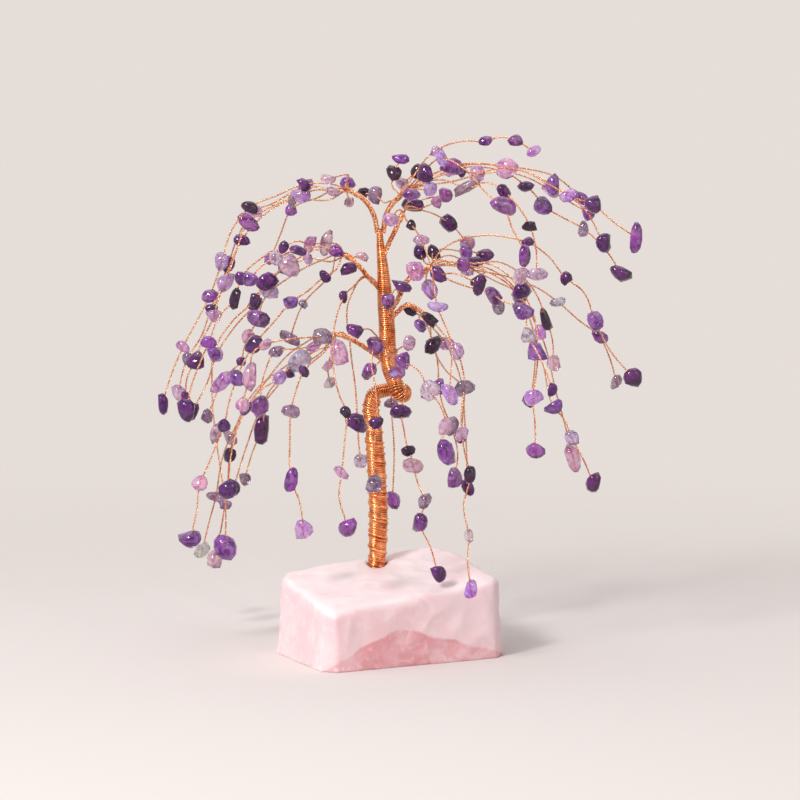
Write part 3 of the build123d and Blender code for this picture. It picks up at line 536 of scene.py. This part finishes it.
def smooth_route(corners, step_length):
    """A smooth line through the corners, with points about step_length apart."""
    tangents = []
    for step, corner in enumerate(corners):
        before = corner - corners[max(step - 1, 0)]
        after = corners[min(step + 1, len(corners) - 1)] - corner
        if before.length and after.length:
            before, after = before.normalized() * after.length, after.normalized() * before.length
        tangents.append((before + after).normalized())
    points = []
    for step in range(len(corners) - 1):
        start, end = corners[step], corners[step + 1]
        reach = (end - start).length * ROUTE_REACH
        count = max(2, round((end - start).length / step_length) + 1)
        run = interpolate_bezier(
            start, start + tangents[step] * reach, end - tangents[step + 1] * reach, end, count
        )
        points.extend(run if not points else run[1:])
    return points


def route_frames(points):
    """The direction and two sideways directions at each point, which turn as little as they can."""
    frames = []
    side = None
    for step in range(len(points)):
        before = points[max(step - 1, 0)]
        after = points[min(step + 1, len(points) - 1)]
        along = (after - before).normalized()
        if side is None:
            side = along.orthogonal().normalized()
        side = (side - along * side.dot(along)).normalized()
        frames.append((along, side, along.cross(side)))
    return frames


def sideways(route_frame, angle):
    _, side, other = route_frame
    return side * cos(angle) + other * sin(angle)


def twisted_wires(points, count, offset, pitch, phase=0.0):
    """Lines of wires twisted round a route, evenly spaced round it."""
    frames = route_frames(points)
    lines = [[] for _ in range(count)]
    travelled = 0.0
    for step, point in enumerate(points):
        if step:
            travelled += (point - points[step - 1]).length
        for wire, line in enumerate(lines):
            angle = phase + 2 * pi * (travelled / pitch + wire / count)
            line.append(point + sideways(frames[step], angle) * offset)
    return lines


# Meshes and objects


def add_object(name, data):
    holder = bpy.data.objects.new(name, data)
    bpy.context.scene.collection.objects.link(holder)
    return holder


def form_mesh(form, name):
    """A mesh made from a bmesh, which ends there."""
    mesh = bpy.data.meshes.new(name)
    form.to_mesh(mesh)
    form.free()
    return mesh


def finished_mesh(carrier, name):
    """The mesh that a carrier object gives once its bevel or modifiers are made. The carrier goes."""
    depsgraph = bpy.context.evaluated_depsgraph_get()
    mesh = bpy.data.meshes.new_from_object(carrier.evaluated_get(depsgraph))
    mesh.name = name
    bpy.data.objects.remove(carrier)
    return mesh


def tube_mesh(name, lines, radius, sides_step=1):
    """A mesh of round wires along lines of points. A line may come with its own radii."""
    curve = bpy.data.curves.new(name + "_route", "CURVE")
    curve.dimensions = "3D"
    curve.bevel_depth = radius
    curve.bevel_resolution = sides_step
    curve.use_fill_caps = True
    for line in lines:
        places, widths = line if isinstance(line, tuple) else (line, None)
        spline = curve.splines.new("POLY")
        spline.points.add(len(places) - 1)
        for step, place in enumerate(places):
            spline.points[step].co = (*place, 1)
            spline.points[step].radius = widths[step] if widths else 1
    mesh = finished_mesh(add_object(name + "_carrier", curve), name)
    bpy.data.curves.remove(curve)
    mesh.shade_smooth()
    return mesh


def tinted_mesh(name, parts):
    """Joins meshes into one, and keeps the tints of their points as a colour attribute."""
    whole = bmesh.new()
    tints = []
    for mesh, point_tints in parts:
        for tint in point_tints:
            tints.extend((*tint, 1))
        whole.from_mesh(mesh)
        bpy.data.meshes.remove(mesh)
    joined = form_mesh(whole, name)
    joined.shade_smooth()
    joined.color_attributes.new(TINT, "FLOAT_COLOR", "POINT").data.foreach_set("color", tints)
    return joined


def add_piece(name, mesh, material, slot, *nodes):
    """Puts a mesh in the scene as a piece of the tree, in place of the CAD nodes that it stands for."""
    piece = add_object(name, mesh)
    mesh.materials.clear()
    mesh.materials.append(material)
    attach(piece, BODY)
    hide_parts(*nodes)


# Finishes


class NodeSet:
    """The nodes of a material or of the world, each added with its values and links in one call."""

    def __init__(self, owner):
        owner.use_nodes = True
        self.nodes, self.links = owner.node_tree.nodes, owner.node_tree.links

    def plug(self, node, values):
        """Links the outputs among the values to the node's sockets, and writes the constants there."""
        for socket, value in values.items():
            entry = node.inputs[socket]
            if isinstance(value, bpy.types.NodeSocket):
                self.links.new(value, entry)
            elif entry.type == "RGBA":
                entry.default_value = (*value, 1)
            else:
                entry.default_value = value

    def add(self, kind, output, values, **settings):
        node = self.nodes.new("ShaderNode" + kind)
        for name, value in settings.items():
            setattr(node, name, value)
        self.plug(node, values)
        return node.outputs[output]

    def math(self, operation, first, second):
        return self.add("Math", "Value", {0: first, 1: second}, operation=operation)

    def spread(self, factor, start, end, low=0, high=1, **settings):
        values = {"Value": factor, "From Min": start, "From Max": end, "To Min": low, "To Max": high}
        return self.add("MapRange", "Result", values, **settings)

    def parts(self, vector):
        return self.add("SeparateXYZ", "X", {"Vector": vector}).node.outputs

    def blended(self, factor, first, second):
        return self.add("MixShader", "Shader", {"Fac": factor, 1: first, 2: second})


class Finish(NodeSet):
    """A material being made, with textures that read the piece's own coordinates."""

    def __init__(self, name):
        self.material = bpy.data.materials.new(name)
        super().__init__(self.material)
        self.shader = self.nodes["Principled BSDF"]
        self.place = self.nodes.new("ShaderNodeTexCoord").outputs["Object"]

    def surface(self, values):
        self.plug(self.shader, values)

    def grain(self, scale, detail=3.0, distortion=0.0, output="Fac"):
        values = {"Vector": self.place, "Scale": scale, "Detail": detail, "Distortion": distortion}
        return self.add("TexNoise", output, values)

    def value_ramp(self, factor, low, high):
        return self.spread(factor, *GRAIN_RANGE, low, high)

    def colour_ramp(self, factor, *stops):
        colour = self.add("ValToRGB", "Color", {"Fac": factor})
        for element, (position, shade) in zip(colour.node.color_ramp.elements, stops):
            element.position = position
            element.color = (*shade, 1)
        return colour

    def mixed(self, blend, factor, first, second):
        values = {0: factor, 6: first, 7: second}
        return self.add("Mix", 2, values, data_type="RGBA", blend_type=blend)

    def tinted(self, colour):
        """The colour times the tint that each point of the mesh carries."""
        tint = self.add("Attribute", "Color", {}, attribute_name=TINT)
        return self.mixed("MULTIPLY", 1.0, tint, colour)

    def bump(self, height, distance, strength):
        values = {"Height": height, "Distance": distance, "Strength": strength}
        self.surface({"Normal": self.add("Bump", "Normal", values)})


def copper_finish(name, bright, shaded, roughness, tinted=False):
    """Drawn copper wire: bright metal that is a little darker and duller in patches."""
    finish = Finish(name)
    patches = finish.grain(scale=260, detail=4.0, distortion=0.6)
    colour = finish.colour_ramp(patches, (0.3, shaded), (0.56, bright))
    dull = finish.value_ramp(finish.grain(scale=900), roughness, roughness + COPPER_DULLING)
    base = finish.tinted(colour) if tinted else colour
    finish.surface({"Base Color": base, "Metallic": 1, "Roughness": dull})
    finish.bump(finish.grain(scale=2600), distance=0.03 * MM, strength=0.4)
    return finish.material


def amethyst_finish(name, veil, veil_share, transmission, deepest):
    """Tumbled quartz: its own tint on each chip, zones of deeper colour, pale veils, and a polish."""
    finish = Finish(name)
    depths = finish.grain(scale=230, detail=2.0, distortion=1.4)
    zones = finish.colour_ramp(depths, (0.4, deepest), (0.56, (1, 1, 1)))
    clouds = finish.grain(scale=250, detail=2.0, distortion=1.0)
    veils = finish.colour_ramp(clouds, (0.42, (0, 0, 0)), (0.68, (veil_share,) * 3))
    finish.surface({
        "Base Color": finish.mixed("MIX", veils, finish.tinted(zones), veil),
        "Roughness": finish.value_ramp(finish.grain(scale=700), low=0.03, high=0.12),
        "Transmission Weight": transmission,
        "Coat Weight": 0.2,
        "Specular IOR Level": 0.35,
        "IOR": QUARTZ_IOR,
    })
    finish.bump(finish.grain(scale=520, detail=2.0), distance=0.15 * MM, strength=0.4)
    return finish.material


# Stage, lights and camera


class GEMTREE_OT_stage(bpy.types.Operator):
    """Adds the pale floor that fades into the air, the soft lights and the camera."""

    bl_idname = "gem_tree.stage"
    bl_label = "Stage, Lights and Camera"

    def execute(self, context):
        scene = context.scene
        floor = self.floor(scene.gem_tree_finish)
        for lamp_values in STUDIO_LAMPS:
            self.add_lamp(*lamp_values)
        scene.world = self.air(scene.gem_tree_finish)
        scene.camera = self.camera()
        scene.view_settings.view_transform = "Standard"
        return {"FINISHED"}

    def floor(self, colours):
        sheet = bmesh.new()
        bmesh.ops.create_grid(sheet, x_segments=8, y_segments=8, size=FLOOR_REACH)
        mesh = form_mesh(sheet, "studio_floor")
        mesh.materials.append(self.paper(colours))
        return add_object("studio_floor", mesh)

    def paper(self, colours):
        """Paper that fades into the air behind it with the distance from a point before the tree."""
        finish = Finish("studio_paper")
        away = finish.add("VectorMath", "Value", {0: finish.place, 1: FADE_CENTRE}, operation="DISTANCE")
        fade = finish.spread(away, FADE_START, FADE_END, interpolation_type="SMOOTHSTEP")
        finish.surface({
            "Base Color": colours.floor_colour,
            "Roughness": 0.9,
            "Specular IOR Level": 0.1,
        })
        clear = finish.add("BsdfTransparent", "BSDF", {})
        faded = finish.blended(fade, finish.shader.outputs["BSDF"], clear)
        finish.plug(finish.nodes["Material Output"], {"Surface": faded})
        return finish.material

    def add_lamp(self, name, place, size, power, tint):
        lamp = bpy.data.lights.new(name, "AREA")
        lamp.shape = "RECTANGLE"
        lamp.size, lamp.size_y = size
        lamp.energy = power
        lamp.color = tint
        holder = add_object(name, lamp)
        holder.location = place
        towards = Vector(LAMP_AIM) - Vector(place)
        holder.rotation_euler = towards.to_track_quat("-Z", "Y").to_euler()

    def air(self, colours):
        """Light that is strong on the left and dim on the right, and a pale backdrop in every view."""
        world = bpy.data.worlds.new("studio_air")
        air = NodeSet(world)
        towards = air.parts(air.nodes.new("ShaderNodeTexCoord").outputs["Generated"])
        across = air.spread(
            towards["X"], *LIGHT_ACROSS, WORLD_DIM, WORLD_LIT, interpolation_type="SMOOTHSTEP"
        )
        light = air.nodes["Background"]
        air.plug(light, {"Color": WORLD_COLOUR, "Strength": across})
        backdrop = air.add("Background", "Background", {"Color": colours.wall_colour})
        path = air.nodes.new("ShaderNodeLightPath").outputs
        seen = air.math("MAXIMUM", path["Is Camera Ray"], path["Is Glossy Ray"])
        seen = air.math("MAXIMUM", seen, path["Is Transmission Ray"])
        whole = air.blended(seen, light.outputs["Background"], backdrop)
        air.plug(air.nodes["World Output"], {"Surface": whole})
        return world

    def camera(self):
        lens = bpy.data.cameras.new("picture_camera")
        lens.sensor_fit = "HORIZONTAL"
        lens.sensor_width = 36
        lens.lens = lens.sensor_width * CAMERA_DISTANCE / picture_size(PICTURE_PX)
        lens.dof.use_dof = False
        lens.clip_end = 20
        camera = add_object("picture_camera", lens)
        away = Vector((0, -cos(VIEW_TILT), sin(VIEW_TILT)))
        camera.location = crown_point(PICTURE_PX / 2, PICTURE_PX / 2) + away * CAMERA_DISTANCE
        camera.rotation_euler = (pi / 2 - VIEW_TILT, 0, 0)
        return camera


# Pieces


def trunk_line():
    """The trunk's route in small steps, with its radius at each point."""
    corners = [crown_point(*station[:3]) for station in trunk_route]
    widths = [picture_size(station[3]) / 2 for station in trunk_route]
    points, radii = smooth_route(corners, TRUNK_STEP), []
    nearest = 0
    for point in points:
        while nearest < len(corners) - 2:
            start, end = corners[nearest], corners[nearest + 1]
            if (point - end).dot(end - start) < 0:
                break
            nearest += 1
        start, end = corners[nearest], corners[nearest + 1]
        share = (point - start).dot(end - start) / (end - start).length_squared
        share = min(max(share, 0), 1)
        radii.append(widths[nearest] + (widths[nearest + 1] - widths[nearest]) * share)
    return points, radii


class GEMTREE_OT_trunk(bpy.types.Operator):
    """Adds the trunk: a thick core with one closed curl, and the fine wire wound round it."""

    bl_idname = "gem_tree.trunk"
    bl_label = "Trunk"

    def execute(self, context):
        sizes = context.scene.gem_tree_sizes
        bright = tuple(context.scene.gem_tree_finish.copper_bright)
        shaded = tuple(context.scene.gem_tree_finish.copper_shaded)
        points, radii = trunk_line()
        bundle = [(radius - sizes.wrap_wire / 2 - WRAP_SINK) / MM for radius in radii]
        core = tube_mesh("trunk_bundle", [(points, bundle)], MM, 3)
        # The core is painted far darker than the copper, as painted shade that shows in the gaps between the
        # turns of the winding
        core_painted_shade = tuple(part * CORE_PAINTED_SHADE_SHARE for part in shaded)
        dull = copper_finish("core_copper_painted_shade", shaded, core_painted_shade, roughness=0.4)
        add_piece("trunk_bundle", core, dull, "copper_wire", "trunk_core")
        line, shades = self.wraps(sizes, points, radii)
        wraps = tube_mesh("trunk_wraps", [line], sizes.wrap_wire / 2)
        over = tube_mesh("trunk_over_wraps", self.over_wraps(points, radii), sizes.wrap_wire / 2)
        ring = len(wraps.vertices) // len(line)
        tints = [(shades[min(spot // ring, len(line) - 1)],) * 3 for spot in range(len(wraps.vertices))]
        whole = tinted_mesh("trunk_wraps", [(wraps, tints), (over, [(1, 1, 1)] * len(over.vertices))])
        wound = copper_finish("wound_copper", bright, shaded, roughness=0.16, tinted=True)
        add_piece("trunk_wraps", whole, wound, "copper_wire", "trunk_winding")
        return {"FINISHED"}

    def over_wraps(self, points, radii):
        """Coarse turns over the fine ones on the lower trunk, wound the other way."""
        frames = route_frames(points)
        lines = []
        for pitch in OVER_PITCHES:
            line = []
            travelled = 0.0
            for step in range(1, len(points)):
                travelled += (points[step] - points[step - 1]).length
                if travelled > OVER_HEIGHT:
                    break
                outward = sideways(frames[step], -2 * pi * travelled / pitch)
                line.append(points[step] + outward * (radii[step] + OVER_RAISE))
            lines.append(line)
        return lines

    def wraps(self, sizes, points, radii):
        """The fine winding. Its turns slant on the lower trunk and lie level above the curl."""
        frames = route_frames(points)
        line, shades = [], []
        travelled = 0.0
        for step in range(len(points) - 1):
            start, end = points[step], points[step + 1]
            length = (end - start).length
            parts = max(1, round(length / sizes.wrap_pitch * WRAP_POINTS))
            for part in range(parts):
                share = part / parts
                turns = (travelled + length * share) / sizes.wrap_pitch
                outward = sideways(frames[step], 2 * pi * turns)
                upper = min(max((travelled - SLANT_SWAP) / SLANT_BLEND, 0), 1)
                slant = SLANT_LOW + (SLANT_HIGH - SLANT_LOW) * upper
                place = start.lerp(end, share)
                lump = noise.noise(place * LUMP_GRAIN + outward * LUMP_SPREAD)
                radius = radii[step] - sizes.wrap_wire / 2 + LUMP_SIZE * lump * (1 - upper / 2)
                tilt = slant * (outward.x - outward.y / 2) * radii[step]
                line.append(place + outward * radius - frames[step][0] * tilt)
                shade = TURN_MIDDLE + TURN_SPREAD * noise.noise(Vector((*TURN_LINE, turns)))
                low, high = TURN_SHADES
                shades.append(low + (high - low) * min(max(shade, 0), 1))
            travelled += length
        return line, shades


class GEMTREE_OT_boughs(bpy.types.Operator):
    """Adds the boughs, each a twist of thick wires that leaves the trunk."""

    bl_idname = "gem_tree.boughs"
    bl_label = "Boughs"

    def execute(self, context):
        sizes = context.scene.gem_tree_sizes
        colours = context.scene.gem_tree_finish
        shades = tuple(colours.copper_bright), tuple(colours.copper_shaded)
        bright = copper_finish("bough_copper", *shades, roughness=0.22)
        for bough_name in bough_routes:
            name = bough_name + "_bundle"
            points = smooth_route(bough_corners(bough_name), BOUGH_STEP)
            offset = sizes.bough_wire / 2 / sin(pi / sizes.bough_wires)
            lines = twisted_wires(points, sizes.bough_wires, offset, sizes.bough_pitch)
            mesh = tube_mesh(name, lines, sizes.bough_wire / 2, 2)
            add_piece(name, mesh, bright, "copper_wire", bough_name + "_bough")
        return {"FINISHED"}


class GEMTREE_OT_strands(bpy.types.Operator):
    """Adds the strands, each of two fine wires twisted round each other."""

    bl_idname = "gem_tree.strands"
    bl_label = "Strands"

    def execute(self, context):
        sizes = context.scene.gem_tree_sizes
        colours = context.scene.gem_tree_finish
        shades = tuple(colours.strand_bright), tuple(colours.copper_shaded)
        bright = copper_finish("strand_copper", *shades, roughness=0.2, tinted=True)
        for bough_name, strands in strand_routes.items():
            corners = bough_corners(bough_name)
            pairs = ([], [])
            for count, (tip_share, stations) in enumerate(strands):
                route = self.strand_line(sizes, corners, tip_share, stations, count)
                offset = STRAND_SPREAD * sizes.strand_wire / 2
                twist = twisted_wires(route, 2, offset, sizes.strand_pitch, count)
                for pair, line in zip(pairs, twist):
                    pair.append(line)
            name = bough_name + "_wires"
            parts = []
            # The second wire of each pair is a darker copy of the same copper: painted shade for the twist's
            # light and dark bands
            for lines, tint in zip(pairs, STRAND_PAINTED_SHADES):
                wires = tube_mesh(name, lines, sizes.strand_wire / 2)
                parts.append((wires, [(tint, tint, tint)] * len(wires.vertices)))
            add_piece(name, tinted_mesh(name, parts), bright, "copper_strand", bough_name + "_strands")
        return {"FINISHED"}

    def strand_line(self, sizes, corners, tip_share, stations, count):
        """A strand's route: beside its bough up to its root, and from there through its chips."""
        joined = nearest_corner(corners, stations)
        places = strand_places(corners[joined], tip_share, stations)[0]
        free_run = smooth_route(corners[:joined] + places, STRAND_STEP)
        offset, pitch = sizes.bough_wire * BESIDE_SHARE, sizes.bough_pitch * BESIDE_PITCHES
        beside = twisted_wires(free_run, 1, offset, pitch, count * BESIDE_TURN)[0]
        away = [(free - corners[joined]).length for free in free_run]
        leaves = away.index(min(away))
        route = []
        for step, free in enumerate(free_run):
            share = min(1, away[step] / LEAVING_LENGTH) if step > leaves else 0
            route.append(beside[step].lerp(free, share))
        return route


class GEMTREE_OT_chips(bpy.types.Operator):
    """Adds the tumbled chips of amethyst and smoky quartz, each threaded on its strand."""

    bl_idname = "gem_tree.chips"
    bl_label = "Chips"

    def execute(self, context):
        panel_veil = tuple(context.scene.gem_tree_finish.amethyst_veil)
        finishes = {}
        for tone_node, (name, veil, *values) in CHIP_FINISHES.items():
            finishes[tone_node] = amethyst_finish(name, veil or panel_veil, *values)
        for bough_name, strands in strand_routes.items():
            dice = Random(bough_name)
            corners = bough_corners(bough_name)
            groups = {tone_node: [] for tone_node in finishes}
            for tip_share, stations in strands:
                root = corners[nearest_corner(corners, stations)]
                for place, shape in strand_places(root, tip_share, stations)[1]:
                    tint = [channel * dice.uniform(*TINT_SHARES) for channel in TONE_TINTS[shape[3]]]
                    mesh = self.chip(dice, place, shape)
                    groups[TONE_NODES[shape[3]]].append((mesh, [tint] * len(mesh.vertices)))
            for tone_node, parts in groups.items():
                if parts:
                    name = bough_name + "_" + tone_node
                    mesh = tinted_mesh(name + "_stones", parts)
                    slot = CHIP_FINISHES[tone_node][0]
                    add_piece(name + "_stones", mesh, finishes[tone_node], slot, name + "_chips")
        return {"FINISHED"}

    def flats(self, dice):
        """The planes that cut a pebble: six round it that lean a little, and one or two more."""
        flats = []
        for axis in range(3):
            for side in (-1, 1):
                towards = Vector([dice.uniform(-CHIP_LEAN, CHIP_LEAN) for _ in range(3)])
                towards[axis] += side
                flats.append(towards.normalized())
        for _ in range(dice.randint(*CHIP_CUTS)):
            towards = Vector([dice.uniform(-reach, reach) for reach in CHIP_CUT_SPREAD])
            flats.append(towards.normalized() / dice.uniform(*CHIP_CUT_REACH))
        return flats

    def chip(self, dice, centre, shape):
        """One chip: a pebble with flats whose edges are tumbled round, stretched to its place."""
        flats = self.flats(dice)
        form = bmesh.new()
        bmesh.ops.create_icosphere(form, subdivisions=2, radius=1.0)
        for vert in form.verts:
            fall = sum(max(0, vert.co.dot(flat)) ** CHIP_EDGE for flat in flats)
            vert.co /= fall ** (1 / CHIP_EDGE)
        for axis in range(3):
            places = [vert.co[axis] for vert in form.verts]
            low, high = min(places), max(places)
            for vert in form.verts:
                vert.co[axis] = (2 * vert.co[axis] - low - high) / (high - low)
        long_px, wide_px, lean, _ = shape
        upright, backwards = leaning(lean), Vector((0, 1, 0))
        across = backwards.cross(upright)
        half_long = CHIP_SWELL * picture_size(long_px) / 2
        half_wide = CHIP_SWELL * picture_size(wide_px) / 2
        axes = (across * half_wide, backwards * half_wide * CHIP_THICKNESS, upright * half_long)
        placed = Matrix(axes).transposed().to_4x4()
        placed.translation = centre
        bmesh.ops.transform(form, matrix=placed, verts=form.verts[:])
        return form_mesh(form, "chip")


class GEMTREE_OT_base_stone(bpy.types.Operator):
    """Adds the block of rose quartz with its drilled hole, and finishes the glue in the hole."""

    bl_idname = "gem_tree.base_stone"
    bl_label = "Base Stone"

    def execute(self, context):
        colours = context.scene.gem_tree_finish
        block = self.shaped_block(context.scene.gem_tree_sizes.stone_grain)
        add_piece("quartz_block", block, self.quartz(colours), "rose_quartz", "base_stone")
        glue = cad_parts["socket_glue"]
        for slot in glue.material_slots:
            slot.material = self.clear_glue()
        return {"FINISHED"}

    def shaped_block(self, cell_size):
        """The stone of the CAD model in small cells, with shallow hollows and worn edges."""
        form = bmesh.new()
        form.from_mesh(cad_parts["base_stone"].data)
        bmesh.ops.remove_doubles(form, verts=form.verts[:], dist=MERGE_DISTANCE)
        bmesh.ops.recalc_face_normals(form, faces=form.faces[:])
        carrier = add_object("quartz_carrier", form_mesh(form, "quartz_start"))
        cells = carrier.modifiers.new("cells", "REMESH")
        cells.mode = "VOXEL"
        cells.voxel_size = cell_size
        cells.adaptivity = 0
        mesh = finished_mesh(carrier, "quartz_block")
        self.weather(mesh)
        mesh.shade_smooth()
        return mesh

    def weather(self, mesh):
        form = bmesh.new()
        form.from_mesh(mesh)
        for _ in range(STONE_SMOOTHING):
            raised = [vert for vert in form.verts if vert.co.z > STONE_FOOT]
            bmesh.ops.smooth_vert(
                form, verts=raised, factor=0.5, use_axis_x=True, use_axis_y=True, use_axis_z=True
            )
        form.normal_update()
        moved = []
        for vert in form.verts:
            broad = noise.noise(vert.co * HOLLOW_GRAIN)
            ridges = abs(noise.noise(vert.co * RIDGE_GRAIN + RIDGE_SHIFT))
            sunk = STONE_HOLLOW * (0.5 + 0.5 * broad) + STONE_RIDGE * ridges
            keep = min(max((vert.co.z - STONE_FOOT) / STONE_FOOT, 0), 1)
            moved.append(vert.normal * -(sunk * keep))
        for vert, shift in zip(form.verts, moved):
            vert.co += shift
        form.to_mesh(mesh)
        form.free()

    def quartz(self, colours):
        """Rose quartz: cloudy pink, frosted on its top and darker in its lower front, with veins."""
        finish = Finish("rose_quartz")
        pink, frost = tuple(colours.quartz_pink), tuple(colours.quartz_frost)
        pale = tuple((part + lit) / 2 for part, lit in zip(pink, frost))
        clouds = finish.grain(scale=26, detail=6.0, distortion=0.8)
        body = finish.colour_ramp(clouds, (0.38, pink), (0.66, pale))
        veins = finish.grain(scale=70, detail=5.0, distortion=1.0)
        deep = finish.colour_ramp(veins, (0.42, tuple(colours.quartz_deep)), (0.8, pink))
        zoned = finish.mixed("MIX", self.deeper_zone(finish), body, deep)

        # Frosted skin where the surface looks up, in patches
        facing = finish.parts(finish.nodes.new("ShaderNodeNewGeometry").outputs["Normal"])
        upward = finish.spread(facing["Z"], *FROST_FACING)
        patches = finish.grain(scale=55, detail=6.0, distortion=0.6)
        patches = finish.value_ramp(patches, low=0.25, high=1.0)
        frosted = finish.mixed("MIX", finish.math("MULTIPLY", upward, patches), zoned, frost)
        flecks = finish.grain(scale=160, detail=6.0, distortion=1.2)
        milky = finish.value_ramp(flecks, *MILKY_RANGE)
        gloss = finish.grain(scale=320, detail=4.0)
        finish.surface({
            "Base Color": finish.mixed("MIX", milky, frosted, frost),
            "Roughness": finish.value_ramp(gloss, low=0.4, high=0.55),
            "Subsurface Weight": 0.3,
            "Subsurface Radius": (1.0, 0.45, 0.45),
            "Subsurface Scale": 6 * MM,
            "IOR": QUARTZ_IOR,
        })
        finish.bump(finish.grain(scale=240), distance=0.3 * MM, strength=0.25)
        return finish.material

    def deeper_zone(self, finish):
        """Where the stone is darker: under a ridge that falls off to both sides, with a ragged edge."""
        ragged = finish.grain(scale=90, detail=5.0, output="Color")
        shift = {0: ragged, 1: (ZONE_RAGGED,) * 3, 2: finish.place}
        place = finish.add("VectorMath", "Vector", shift, operation="MULTIPLY_ADD")
        parts = finish.parts(place)
        slopes = []
        for far_across, far_up in ZONE_ENDS:
            slopes.append(
                finish.spread(parts["X"], ZONE_PEAK[0], far_across, ZONE_PEAK[1], far_up, clamp=False)
            )
        ridge = finish.math("MINIMUM", *slopes)
        return finish.spread(finish.math("SUBTRACT", ridge, parts["Z"]), 0, ZONE_EDGE)

    def clear_glue(self):
        finish = Finish("clear_glue")
        haze = finish.grain(scale=200)
        haze = finish.colour_ramp(haze, (0.3, (0.8, 0.76, 0.7)), (0.7, (0.9, 0.87, 0.82)))
        finish.surface({"Base Color": haze, "Roughness": 0.15, "Transmission Weight": 0.6})
        return finish.material


# Panel


class GEMTREE_PT_panel(bpy.types.Panel):
    """Lists the sizes, the colours and the pieces of the tree."""

    bl_idname = "GEMTREE_PT_panel"
    bl_label = "Gem Tree"
    bl_space_type = "VIEW_3D"
    bl_region_type = "UI"
    bl_category = "Gem Tree"

    def draw(self, context):
        for group in (context.scene.gem_tree_sizes, context.scene.gem_tree_finish):
            column = self.layout.column()
            for name in group.__annotations__:
                column.prop(group, name)
        for operator in OPERATORS:
            self.layout.operator(operator.bl_idname)


OPERATORS = (
    GEMTREE_OT_stage,
    GEMTREE_OT_base_stone,
    GEMTREE_OT_trunk,
    GEMTREE_OT_boughs,
    GEMTREE_OT_strands,
    GEMTREE_OT_chips,
)
CLASSES = (GemTreeSizes, GemTreeFinish, *OPERATORS, GEMTREE_PT_panel)


def register():
    for item in CLASSES:
        bpy.utils.register_class(item)
    bpy.types.Scene.gem_tree_sizes = PointerProperty(type=GemTreeSizes)
    bpy.types.Scene.gem_tree_finish = PointerProperty(type=GemTreeFinish)


def unregister():
    del bpy.types.Scene.gem_tree_finish
    del bpy.types.Scene.gem_tree_sizes
    for item in reversed(CLASSES):
        bpy.utils.unregister_class(item)


def main():
    register()
    bpy.ops.gem_tree.stage()
    bpy.ops.gem_tree.base_stone()
    bpy.ops.gem_tree.trunk()
    bpy.ops.gem_tree.boughs()
    bpy.ops.gem_tree.strands()
    bpy.ops.gem_tree.chips()


if __name__ == "__main__":
    main()
